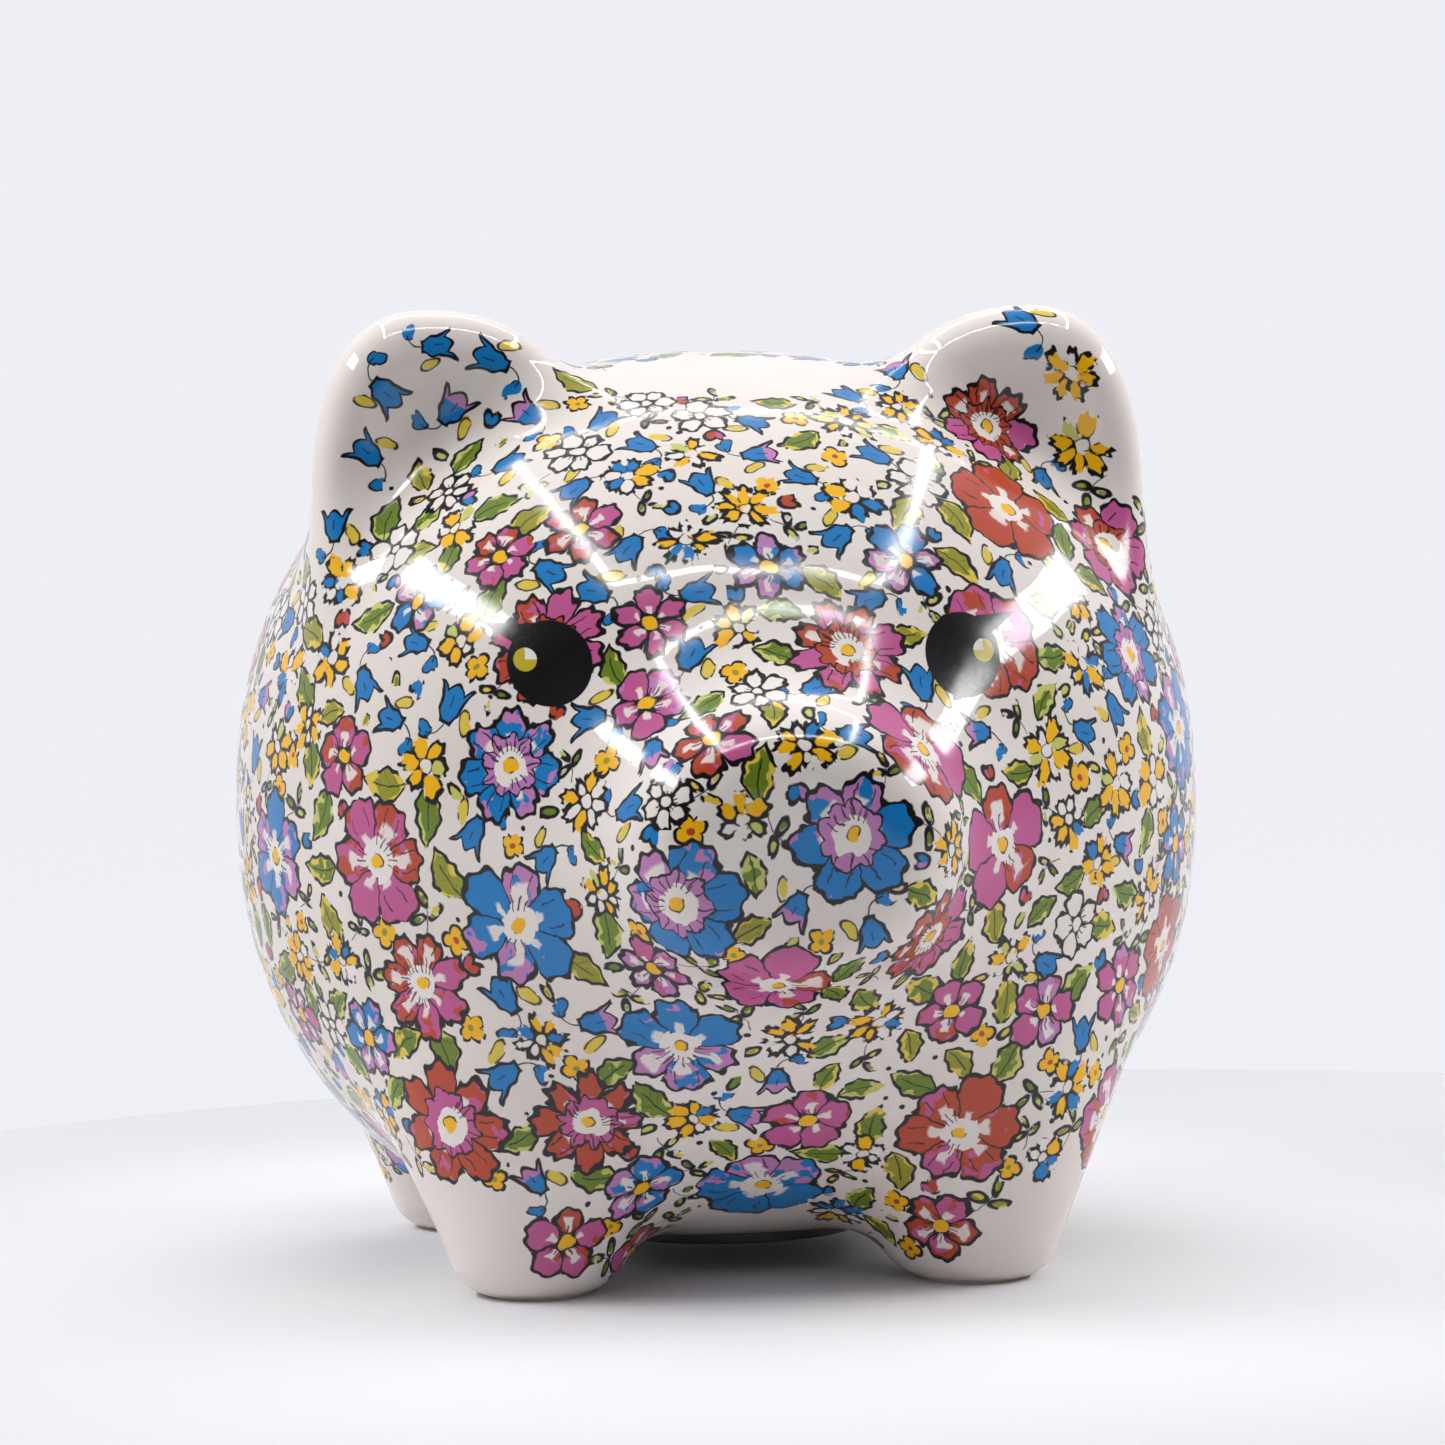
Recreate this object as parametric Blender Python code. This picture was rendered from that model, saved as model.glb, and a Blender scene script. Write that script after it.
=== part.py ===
"""Hollow glazed ceramic piggy bank with a soft stopper in its belly.

Units are metres and +Z is up. The bank stands on the plane z = 0, faces -Y, and
its box is centred on the Z axis. The pieces are the ceramic shell, the stopper
plug that closes the emptying hole, and the finger tab that lifts out of the plug.
"""
import math

import bmesh
import bpy
import numpy as np

# Trunk: a plump egg whose cross-section is a little squarer than an ellipse.
TRUNK_CENTRE = np.array((0.0, 0.0043, 0.0567))
TRUNK_RADII = np.array((0.0601, 0.0630, 0.0562))
TRUNK_POWER = 2.22
BELLY_Z = 0.0030
BELLY_EDGE = 0.0040

# Ears: upright lobes, cupped at the front, leaning further in than out.
EAR_CENTRE = np.array((0.0368, -0.0167, 0.0930))
EAR_OUTWARD = 0.0137
EAR_INWARD = 0.0205
EAR_RISE = 0.0236
EAR_HALF_THICKNESS = 0.0085
EAR_POWER = 2.35
EAR_RIM = 0.0075
EAR_CUP_DEPTH = 0.0050
EAR_CUP_CENTRE = (-0.0030, 0.0040)
EAR_CUP_RADII = (0.0120, 0.0140)

# Snout: a short oval cone that ends in a flat disc.
SNOUT_TIP_Y = -0.0697
SNOUT_Z = 0.0536
SNOUT_RADII = (0.0172, 0.0145)
SNOUT_LENGTH = 0.0160
SNOUT_FLARE = 0.30
SNOUT_RIM = 0.0075
SNOUT_ROOT_Y = -0.0257

# Legs: four stubby cones that widen upwards into the trunk.
FRONT_LEG = (0.0262, -0.0272)
REAR_LEG = (0.0305, 0.0318)
FOOT_RADIUS = 0.0088
LEG_TAPER = 0.36
LEG_TOP_Z = 0.036
LEG_TOP_FADE = 0.026
FOOT_EDGE = 0.0040

# Tail: a flat curl lying against the rump.
TAIL_CENTRE = (0.0, 0.0668, 0.0640)
TAIL_RADII = (0.0090, 0.0026)
TAIL_TURNS = (-0.20, 0.85)
TAIL_LIFT = (-0.0010, 0.0013)
TAIL_THICKNESS = (0.0026, 0.0016)
TAIL_RINGS = 26
TAIL_SIDES = 8

# Fillets where the parts flow into the trunk.
LEG_BLEND = 0.0100
EAR_BLEND = 0.0060
SNOUT_BLEND = 0.0100

# Hollow, coin slot and emptying hole.
WALL = 0.0040
SEAT_DEPTH = 0.0030
SEAT_RADIUS = 0.0175
SEAT_Z = BELLY_Z + SEAT_DEPTH
HOLE_RADIUS = 0.0140
FLOOR_WALL = 0.0045
CAVITY_FLOOR_Z = SEAT_Z + FLOOR_WALL
SLOT_LENGTH = 0.0340
SLOT_WIDTH = 0.0045
SLOT_Y = 0.0120

# Stopper plug: a flange, a ribbed cup and a pocket for the tab.
FLANGE_RADIUS = 0.0170
FLANGE_Z = 0.0032
FLANGE_TOP_Z = 0.0057
CUP_RADIUS = 0.0129
RIB_RADIUS = 0.0136
RIB_HALF_HEIGHT = 0.0008
RIB_HEIGHTS = (0.0076, 0.0100)
CUP_TOP_Z = 0.0128
CUP_WALL = 0.0022
POCKET_DEPTH = 0.0015
POCKET_WIDTH = 0.0106
POCKET_REAR_Y = -0.0075
POCKET_FRONT_Y = 0.0100

# Finger tab: turns on the axis that runs along X through its rear edge.
TAB_WIDTH = 0.0100
TAB_THICKNESS = 0.0012
TAB_HINGE_Y = -0.0060
TAB_END_Y = 0.0062
TAB_HINGE_Z = FLANGE_Z + TAB_THICKNESS / 2
TAB_CORNER = 0.0035

# Mesh fineness.
SHELL_CELLS = 24
CAVITY_CELLS = 8
ROUND_STEPS = 40
SURFACE_REACH = 0.100
SURFACE_STEP = 0.0007
SURFACE_CORE = 0.020
HALVINGS = 24
SETTLE_ROUNDS = 14
PULL_STEPS = 3
PROBE = 1e-5
FOOT_FLAT = 0.0004


def soft_min(first, second, blend):
    """Smaller of two distances, rounded over the blend length."""
    share = np.clip(0.5 + 0.5 * (second - first) / blend, 0.0, 1.0)
    return second + (first - second) * share - blend * share * (1.0 - share)


def soft_max(first, second, blend):
    """Larger of two distances, rounded over the blend length."""
    return -soft_min(-first, -second, blend)


def trunk_distance(points, shrink=0.0, floor_z=BELLY_Z):
    """Distance to the trunk, or to the egg that lies shrink inside it."""
    ratio = np.abs(points - TRUNK_CENTRE) / (TRUNK_RADII - shrink)
    section = ratio[:, 0] ** TRUNK_POWER + ratio[:, 2] ** TRUNK_POWER
    reach = np.sqrt(section ** (2.0 / TRUNK_POWER) + ratio[:, 1] ** 2)
    egg = (reach - 1.0) * (TRUNK_RADII[2] - shrink)
    return soft_max(egg, floor_z - points[:, 2], BELLY_EDGE)


def ear_distance(points):
    """Distance to the pair of ears, mirrored across x = 0."""
    across = np.abs(points[:, 0]) - EAR_CENTRE[0]
    back = points[:, 1] - EAR_CENTRE[1]
    up = points[:, 2] - EAR_CENTRE[2]
    half_width = np.where(across > 0.0, EAR_OUTWARD, EAR_INWARD)
    outline = np.abs(across / half_width) ** EAR_POWER + np.abs(up / EAR_RISE) ** EAR_POWER
    side = (outline ** (1.0 / EAR_POWER) - 1.0) * EAR_OUTWARD * 1.17
    cup_across = (across - EAR_CUP_CENTRE[0]) / EAR_CUP_RADII[0]
    cup_up = (up - EAR_CUP_CENTRE[1]) / EAR_CUP_RADII[1]
    cup = EAR_CUP_DEPTH * np.exp(-cup_across ** 2 - cup_up ** 2)
    front_face = cup - back - EAR_HALF_THICKNESS
    back_face = back - EAR_HALF_THICKNESS
    slab = soft_max(front_face, back_face, EAR_RIM / 2.0)
    return soft_max(side, slab, EAR_RIM)


def snout_distance(points):
    """Distance to the oval snout, whose side flares towards the face."""
    behind_tip = points[:, 1] - SNOUT_TIP_Y
    along = np.clip(behind_tip / SNOUT_LENGTH, 0.0, 1.6)
    flare = 1.0 + SNOUT_FLARE * along ** 1.5
    oval = np.hypot(points[:, 0] / SNOUT_RADII[0], (points[:, 2] - SNOUT_Z) / SNOUT_RADII[1])
    side = (oval - flare) * 0.5 * sum(SNOUT_RADII)
    body = soft_max(side, -behind_tip, SNOUT_RIM)
    return soft_max(body, points[:, 1] - SNOUT_ROOT_Y, SNOUT_RIM)


def leg_distance(points, place):
    """Distance to a left and right pair of legs at (x, y)."""
    across = np.abs(points[:, 0]) - place[0]
    along = points[:, 1] - place[1]
    height = points[:, 2]
    side = np.hypot(across, along) - (FOOT_RADIUS + LEG_TAPER * np.maximum(height, 0.0))
    foot = soft_max(side, -height, FOOT_EDGE)
    return soft_max(foot, height - LEG_TOP_Z, LEG_TOP_FADE)


def shell_distance(points):
    """Distance to the outer skin, cut flat where the feet stand on z = 0."""
    skin = trunk_distance(points)
    skin = soft_min(skin, leg_distance(points, FRONT_LEG), LEG_BLEND)
    skin = soft_min(skin, leg_distance(points, REAR_LEG), LEG_BLEND)
    skin = soft_min(skin, ear_distance(points), EAR_BLEND)
    skin = soft_min(skin, snout_distance(points), SNOUT_BLEND)
    return np.maximum(skin, -points[:, 2])


def cavity_distance(points):
    """Distance to the hollow: the trunk and snout, one wall thickness in."""
    room = trunk_distance(points, WALL, CAVITY_FLOOR_Z)
    return soft_min(room, snout_distance(points) + WALL, SNOUT_BLEND)


def surface_points(directions, distance):
    """Outermost points of a shape along rays from the trunk's centre."""
    outside = np.full(len(directions), SURFACE_REACH)
    inside = np.zeros(len(directions))
    for reach in np.arange(SURFACE_REACH, SURFACE_CORE, -SURFACE_STEP):
        hit = (inside == 0.0) & (distance(TRUNK_CENTRE + directions * reach) < 0.0)
        inside[hit] = reach
        outside[hit] = reach + SURFACE_STEP
    for _ in range(HALVINGS):
        middle = 0.5 * (inside + outside)
        within = distance(TRUNK_CENTRE + directions * middle[:, None]) < 0.0
        inside = np.where(within, middle, inside)
        outside = np.where(within, outside, middle)
    return TRUNK_CENTRE + directions * outside[:, None]


def pulled_to_surface(points, distance):
    """Move points along the gradient until they lie on the shape."""
    for _ in range(PULL_STEPS):
        gradient = np.empty_like(points)
        for axis, shift in enumerate(np.eye(3) * PROBE):
            rise = distance(points + shift) - distance(points - shift)
            gradient[:, axis] = rise / (2.0 * PROBE)
        steepness = np.maximum((gradient ** 2).sum(axis=1), 0.05)
        points = points - gradient * (distance(points) / steepness)[:, None]
    return points


def settled(points, pairs, distance):
    """Even out the spacing of the points while they stay on the shape."""
    ends = np.concatenate((pairs, pairs[:, ::-1]))
    count = np.bincount(ends[:, 0], minlength=len(points))[:, None]
    for _ in range(SETTLE_ROUNDS):
        total = np.zeros_like(points)
        np.add.at(total, ends[:, 0], points[ends[:, 1]])
        points = pulled_to_surface(0.5 * (points + total / count), distance)
    return points


def add_material(obj, colour, roughness, coat=0.0):
    """Give an object its own plain Principled material."""
    material = bpy.data.materials.new(obj.name + "_material")
    material.use_nodes = True
    shader = material.node_tree.nodes["Principled BSDF"]
    shader.inputs["Base Color"].default_value = (*colour, 1.0)
    shader.inputs["Roughness"].default_value = roughness
    shader.inputs["Metallic"].default_value = 0.0
    shader.inputs["Coat Weight"].default_value = coat
    obj.data.materials.append(material)


def new_object(name, mesh_builder):
    """Make an object from a bmesh and link it to the scene."""
    mesh = bpy.data.meshes.new(name)
    mesh_builder.normal_update()
    mesh_builder.to_mesh(mesh)
    mesh_builder.free()
    obj = bpy.data.objects.new(name, mesh)
    bpy.context.scene.collection.objects.link(obj)
    return obj


def rounded_body(name, cells, distance):
    """Wrap a gridded cube around a shape, one vertex per ray."""
    builder = bmesh.new()
    bmesh.ops.create_cube(builder, size=2.0)
    bmesh.ops.subdivide_edges(builder, edges=builder.edges[:], cuts=cells - 1, use_grid_fill=True)
    cube = np.array([vertex.co[:] for vertex in builder.verts])
    spread = np.tan(cube * math.pi / 4.0)
    directions = spread / np.linalg.norm(spread, axis=1, keepdims=True)
    builder.verts.index_update()
    pairs = np.array([[vertex.index for vertex in edge.verts] for edge in builder.edges])
    places = settled(surface_points(directions, distance), pairs, distance)
    places[places[:, 2] < FOOT_FLAT, 2] = 0.0
    for vertex, place in zip(builder.verts, places):
        vertex.co = place
    bmesh.ops.recalc_face_normals(builder, faces=builder.faces[:])
    return new_object(name, builder)


def extruded(name, outline, low_z, high_z):
    """Upright prism over a counter-clockwise outline of (x, y) points."""
    builder = bmesh.new()
    base = [builder.verts.new((x, y, low_z)) for x, y in outline]
    face = builder.faces.new(base)
    grown = bmesh.ops.extrude_face_region(builder, geom=[face])
    raised = [item for item in grown["geom"] if isinstance(item, bmesh.types.BMVert)]
    bmesh.ops.translate(builder, verts=raised, vec=(0.0, 0.0, high_z - low_z))
    bmesh.ops.recalc_face_normals(builder, faces=builder.faces[:])
    return new_object(name, builder)


def arc(centre, radius, start, end, steps):
    """Points along an arc, with its angles in degrees."""
    angles = [math.radians(start + (end - start) * step / steps) for step in range(steps + 1)]
    return [(centre[0] + radius * math.cos(a), centre[1] + radius * math.sin(a)) for a in angles]


def circle(radius):
    """Full circle about the Z axis, without the repeated last point."""
    return arc((0.0, 0.0), radius, 0.0, 360.0, ROUND_STEPS)[:-1]


def hide_cutter(cutter):
    """Show a cutter as wire and keep it out of the build."""
    cutter.hide_render = True
    cutter.display_type = "WIRE"


def cut(obj, cutter):
    """Subtract a cutter from an object with a live Boolean."""
    hide_cutter(cutter)
    boolean = obj.modifiers.new("cut_" + cutter.name, "BOOLEAN")
    boolean.operation = "DIFFERENCE"
    boolean.solver = "EXACT"
    boolean.object = cutter


def tail_curl():
    """Closed tube along a flat spiral that rises off the rump as it winds in."""
    builder = bmesh.new()
    rings = []
    for step in range(TAIL_RINGS + 1):
        share = step / TAIL_RINGS
        turn = 2.0 * math.pi * (TAIL_TURNS[0] + share * (TAIL_TURNS[1] - TAIL_TURNS[0]))
        radius = TAIL_RADII[0] + share * (TAIL_RADII[1] - TAIL_RADII[0])
        lift = TAIL_LIFT[0] + share * (TAIL_LIFT[1] - TAIL_LIFT[0])
        thickness = TAIL_THICKNESS[0] + share * (TAIL_THICKNESS[1] - TAIL_THICKNESS[0])
        ring = []
        for side in range(TAIL_SIDES):
            around = 2.0 * math.pi * side / TAIL_SIDES
            reach = radius + thickness * math.cos(around)
            x = TAIL_CENTRE[0] + reach * math.cos(turn)
            y = TAIL_CENTRE[1] + lift + thickness * math.sin(around)
            z = TAIL_CENTRE[2] + reach * math.sin(turn)
            ring.append(builder.verts.new((x, y, z)))
        rings.append(ring)
    for ring, following in zip(rings, rings[1:]):
        for side in range(TAIL_SIDES):
            after = (side + 1) % TAIL_SIDES
            builder.faces.new((ring[side], ring[after], following[after], following[side]))
    builder.faces.new(rings[0])
    builder.faces.new(rings[-1])
    bmesh.ops.recalc_face_normals(builder, faces=builder.faces[:])
    return new_object("tail_guide", builder)


def unite(obj, other):
    """Add a second closed shape to an object with a live Boolean."""
    hide_cutter(other)
    boolean = obj.modifiers.new("add_" + other.name, "BOOLEAN")
    boolean.operation = "UNION"
    boolean.solver = "EXACT"
    boolean.object = other


def build_ceramic_body():
    """Glazed shell with ears, snout, legs, tail, coin slot and emptying hole."""
    body = rounded_body("ceramic_body", SHELL_CELLS, shell_distance)
    cavity = rounded_body("cavity_cutter", CAVITY_CELLS, cavity_distance)
    seat = extruded("seat_cutter", circle(SEAT_RADIUS), -0.005, SEAT_Z)
    hole = extruded("hole_cutter", circle(HOLE_RADIUS), -0.004, CAVITY_FLOOR_Z + 0.004)

    half_straight = (SLOT_LENGTH - SLOT_WIDTH) / 2
    rear_end = arc((0.0, SLOT_Y + half_straight), SLOT_WIDTH / 2, 0.0, 180.0, 8)
    front_end = arc((0.0, SLOT_Y - half_straight), SLOT_WIDTH / 2, 180.0, 360.0, 8)
    crown_z = TRUNK_CENTRE[2] + TRUNK_RADII[2]
    slot = extruded("slot_cutter", rear_end + front_end, crown_z - 0.016, crown_z + 0.010)

    unite(body, tail_curl())
    for cutter in (cavity, seat, hole, slot):
        cut(body, cutter)
    body.data.shade_smooth()
    body.data.set_sharp_from_angle(angle=math.radians(40.0))
    add_material(body, (0.86, 0.82, 0.79), 0.08, coat=1.0)


def plug_profile():
    """Half-section of the plug as (radius, z), from the flange axis to the cup floor."""
    inner = CUP_RADIUS - CUP_WALL
    profile = [(0.0, FLANGE_Z)]
    profile += arc((FLANGE_RADIUS - 0.0006, FLANGE_Z + 0.0006), 0.0006, -90.0, 0.0, 3)
    profile += arc((FLANGE_RADIUS - 0.0006, FLANGE_TOP_Z - 0.0006), 0.0006, 0.0, 90.0, 3)
    profile.append((CUP_RADIUS, FLANGE_TOP_Z))
    for height in RIB_HEIGHTS:
        profile.append((CUP_RADIUS, height - RIB_HALF_HEIGHT))
        profile.append((RIB_RADIUS, height))
        profile.append((CUP_RADIUS, height + RIB_HALF_HEIGHT))
    profile.append((CUP_RADIUS - 0.0006, CUP_TOP_Z))
    profile.append((inner, CUP_TOP_Z))
    profile.append((inner - 0.0005, FLANGE_TOP_Z + 0.0008))
    profile.append((0.0, FLANGE_TOP_Z + 0.0003))
    return profile


def build_stopper_plug():
    """Soft plug turned about the Z axis, with the tab's pocket cut in its face."""
    builder = bmesh.new()
    chain = [builder.verts.new((radius, 0.0, z)) for radius, z in plug_profile()]
    edges = [builder.edges.new(pair) for pair in zip(chain, chain[1:])]
    bmesh.ops.spin(
        builder,
        geom=chain + edges,
        cent=(0.0, 0.0, 0.0),
        axis=(0.0, 0.0, 1.0),
        angle=2.0 * math.pi,
        steps=ROUND_STEPS,
        use_merge=True,
    )
    bmesh.ops.remove_doubles(builder, verts=builder.verts[:], dist=1e-6)
    bmesh.ops.recalc_face_normals(builder, faces=builder.faces[:])
    plug = new_object("stopper_plug", builder)

    half = POCKET_WIDTH / 2
    thumb = arc((0.0, POCKET_FRONT_Y - half), half, 0.0, 180.0, 12)
    outline = thumb + [(-half, POCKET_REAR_Y), (half, POCKET_REAR_Y)]
    pocket = extruded("pocket_cutter", outline, FLANGE_Z - 0.001, FLANGE_Z + POCKET_DEPTH)
    cut(plug, pocket)
    plug.data.shade_smooth()
    plug.data.set_sharp_from_angle(angle=math.radians(35.0))
    add_material(plug, (0.07, 0.068, 0.07), 0.45)


def build_pull_tab():
    """Finger tab whose rear edge is rounded about its hinge axis."""
    half_width = TAB_WIDTH / 2
    end_y = TAB_END_Y - TAB_CORNER
    outline = arc((half_width - TAB_CORNER, end_y), TAB_CORNER, 0.0, 90.0, 6)
    outline += arc((TAB_CORNER - half_width, end_y), TAB_CORNER, 90.0, 180.0, 6)
    outline += [(-half_width, TAB_HINGE_Y), (half_width, TAB_HINGE_Y)]
    top_z = FLANGE_Z + TAB_THICKNESS
    tab = extruded("pull_tab", outline, FLANGE_Z, top_z)

    barrel_outline = arc((0.0, 0.0), TAB_THICKNESS / 2, 0.0, 360.0, 16)[:-1]
    barrel = extruded("hinge_edge_guide", barrel_outline, -half_width, half_width)
    barrel.rotation_euler = (0.0, math.pi / 2, 0.0)
    barrel.location = (0.0, TAB_HINGE_Y, TAB_HINGE_Z)
    unite(tab, barrel)

    hinge = bpy.data.objects.new("tab_hinge_axis", None)
    hinge.location = (0.0, TAB_HINGE_Y, TAB_HINGE_Z)
    bpy.context.scene.collection.objects.link(hinge)
    tab.parent = hinge
    tab.location = (0.0, -TAB_HINGE_Y, -TAB_HINGE_Z)
    add_material(tab, (0.07, 0.068, 0.07), 0.45)


for leftover in list(bpy.data.objects):
    bpy.data.objects.remove(leftover)

build_ceramic_body()
build_stopper_plug()
build_pull_tab()
bpy.context.view_layer.update()
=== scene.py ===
"""Glazed piggy bank with a floral transfer print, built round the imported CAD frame."""

import math

import bpy
import numpy as np
from mathutils import Matrix, Vector


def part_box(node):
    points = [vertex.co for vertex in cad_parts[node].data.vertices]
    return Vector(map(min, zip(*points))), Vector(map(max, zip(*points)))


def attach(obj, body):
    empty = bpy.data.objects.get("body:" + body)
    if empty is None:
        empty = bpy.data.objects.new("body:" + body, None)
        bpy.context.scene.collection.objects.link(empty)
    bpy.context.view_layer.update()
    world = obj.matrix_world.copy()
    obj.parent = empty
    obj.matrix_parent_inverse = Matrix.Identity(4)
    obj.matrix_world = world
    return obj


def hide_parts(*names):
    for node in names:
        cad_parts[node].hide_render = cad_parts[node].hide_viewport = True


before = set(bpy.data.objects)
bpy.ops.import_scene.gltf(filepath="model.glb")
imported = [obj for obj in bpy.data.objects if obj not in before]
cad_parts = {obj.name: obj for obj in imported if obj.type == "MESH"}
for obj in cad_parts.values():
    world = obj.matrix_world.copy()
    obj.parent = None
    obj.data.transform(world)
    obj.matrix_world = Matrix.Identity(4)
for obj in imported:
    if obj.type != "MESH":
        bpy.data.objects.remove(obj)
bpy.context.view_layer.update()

# Every length below is in millimetres of the design. MM turns it into the frame's metres.
DESIGN_WIDTH = 120.2
shell_low, shell_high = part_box("ceramic_body")
MM = (shell_high.x - shell_low.x) / DESIGN_WIDTH

# ---------------------------------------------------------------- shape of the shell
TRUNK_CENTRE = np.array((0.0, 4.3, 56.7))
TRUNK_RADII = np.array((60.1, 63.0, 56.2))
TRUNK_POWER = 2.22
BELLY_Z = 3.0
BELLY_EDGE = 4.0
EAR_CENTRE = np.array((36.8, -16.7, 93.0))
EAR_OUTWARD = 13.7
EAR_INWARD = 20.5
EAR_RISE = 23.6
EAR_HALF_THICKNESS = 8.5
EAR_POWER = 2.35
EAR_RIM = 7.5
EAR_SIDE_SLOPE = 1.17
EAR_CUP_DEPTH = 5.0
EAR_CUP_CENTRE = (-3.0, 4.0)
EAR_CUP_RADII = (12.0, 14.0)
SNOUT_TIP_Y = -69.7
SNOUT_ROOT_Y = -25.7
SNOUT_Z = 53.6
SNOUT_RADII = (17.2, 14.5)
SNOUT_LENGTH = 16.0
SNOUT_FLARE = 0.30
SNOUT_FLARE_POWER = 1.5
SNOUT_FLARE_END = 1.6
SNOUT_RIM = 7.5
FRONT_LEG = (26.2, -27.2)
REAR_LEG = (30.5, 31.8)
FOOT_RADIUS = 8.8
LEG_TAPER = 0.36
LEG_TOP_Z = 36.0
LEG_TOP_FADE = 26.0
FOOT_EDGE = 4.0
TAIL_CENTRE = (0.0, 66.8, 64.0)
TAIL_RADII = (9.0, 2.6)
TAIL_TURNS = (-0.20, 0.85)
TAIL_LIFT = (-1.0, 1.2)
TAIL_THICKNESS = (2.6, 1.6)
TAIL_BEADS = 60
TAIL_REACH = 16.0
FAR = 50.0
LEG_BLEND = 10.0
EAR_BLEND = 6.0
SNOUT_BLEND = 10.0
TAIL_BLEND = 1.2
WALL = 4.0
SEAT_Z = 6.0
SEAT_RADIUS = 17.5
HOLE_RADIUS = 14.0
HOLE_OVERCUT = 3.0
CAVITY_FLOOR_Z = 10.5
SLOT_HALF_LENGTH = 17.0
SLOT_HALF_WIDTH = 2.25
SLOT_Y = 12.0
SLOT_CUT_DEPTH = 14.0
GLAZED_EDGE = 1.4
SHELL_CELL = 1.0


def soft_min(first, second, blend):
    """Smaller of two distances, rounded over the blend length."""
    share = np.clip(0.5 + 0.5 * (second - first) / blend, 0.0, 1.0)
    return second + (first - second) * share - blend * share * (1.0 - share)


def soft_max(first, second, blend):
    """Larger of two distances, rounded over the blend length."""
    return -soft_min(-first, -second, blend)


def between(ends, share):
    """Value at a share of the way from one end to the other."""
    return ends[0] + share * (ends[1] - ends[0])


def trunk_distance(points, shrink=0.0, floor_z=BELLY_Z):
    """Distance to the trunk, or to the egg that lies shrink inside it."""
    ratio = np.abs(points - TRUNK_CENTRE) / (TRUNK_RADII - shrink)
    section = ratio[:, 0] ** TRUNK_POWER + ratio[:, 2] ** TRUNK_POWER
    reach = np.sqrt(section ** (2.0 / TRUNK_POWER) + ratio[:, 1] ** 2)
    egg = (reach - 1.0) * (TRUNK_RADII[2] - shrink)
    return soft_max(egg, floor_z - points[:, 2], BELLY_EDGE)


def ear_distance(points):
    """Distance to the pair of ears, mirrored across x = 0."""
    across = np.abs(points[:, 0]) - EAR_CENTRE[0]
    back = points[:, 1] - EAR_CENTRE[1]
    up = points[:, 2] - EAR_CENTRE[2]
    half_width = np.where(across > 0.0, EAR_OUTWARD, EAR_INWARD)
    outline = np.abs(across / half_width) ** EAR_POWER + np.abs(up / EAR_RISE) ** EAR_POWER
    side = (outline ** (1.0 / EAR_POWER) - 1.0) * EAR_OUTWARD * EAR_SIDE_SLOPE
    cup_across = (across - EAR_CUP_CENTRE[0]) / EAR_CUP_RADII[0]
    cup_up = (up - EAR_CUP_CENTRE[1]) / EAR_CUP_RADII[1]
    cup = EAR_CUP_DEPTH * np.exp(-cup_across ** 2 - cup_up ** 2)
    slab = soft_max(cup - back - EAR_HALF_THICKNESS, back - EAR_HALF_THICKNESS, EAR_RIM / 2.0)
    return soft_max(side, slab, EAR_RIM)


def snout_distance(points):
    """Distance to the oval snout, whose side flares towards the face."""
    behind_tip = points[:, 1] - SNOUT_TIP_Y
    along = np.clip(behind_tip / SNOUT_LENGTH, 0.0, SNOUT_FLARE_END)
    flare = 1.0 + SNOUT_FLARE * along ** SNOUT_FLARE_POWER
    oval = np.hypot(points[:, 0] / SNOUT_RADII[0], (points[:, 2] - SNOUT_Z) / SNOUT_RADII[1])
    side = (oval - flare) * 0.5 * sum(SNOUT_RADII)
    body = soft_max(side, -behind_tip, SNOUT_RIM)
    return soft_max(body, points[:, 1] - SNOUT_ROOT_Y, SNOUT_RIM)


def leg_distance(points, place):
    """Distance to a left and right pair of legs at (x, y)."""
    across = np.abs(points[:, 0]) - place[0]
    along = points[:, 1] - place[1]
    height = points[:, 2]
    side = np.hypot(across, along) - (FOOT_RADIUS + LEG_TAPER * np.maximum(height, 0.0))
    foot = soft_max(side, -height, FOOT_EDGE)
    return soft_max(foot, height - LEG_TOP_Z, LEG_TOP_FADE)


def tail_distance(points):
    """Distance to the curl: a row of beads along a flat spiral."""
    share = np.linspace(0.0, 1.0, TAIL_BEADS)
    turn = 2.0 * math.pi * between(TAIL_TURNS, share)
    radius, lift, thickness = (between(ends, share) for ends in (TAIL_RADII, TAIL_LIFT, TAIL_THICKNESS))
    beads = np.column_stack((radius * np.cos(turn), lift, radius * np.sin(turn)))
    nearest = np.full(len(points), FAR)
    offset = points - np.array(TAIL_CENTRE)
    near = np.flatnonzero(np.abs(offset).max(axis=1) < TAIL_REACH)
    for bead, bead_radius in zip(beads, thickness):
        distance = np.linalg.norm(offset[near] - bead, axis=1) - bead_radius
        nearest[near] = np.minimum(nearest[near], distance)
    return nearest


def skin_distance(points):
    """Distance to the outer skin, cut flat where the feet stand on z = 0."""
    skin = trunk_distance(points)
    skin = soft_min(skin, leg_distance(points, FRONT_LEG), LEG_BLEND)
    skin = soft_min(skin, leg_distance(points, REAR_LEG), LEG_BLEND)
    skin = soft_min(skin, ear_distance(points), EAR_BLEND)
    skin = soft_min(skin, snout_distance(points), SNOUT_BLEND)
    skin = soft_min(skin, tail_distance(points), TAIL_BLEND)
    return np.maximum(skin, -points[:, 2])


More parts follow.
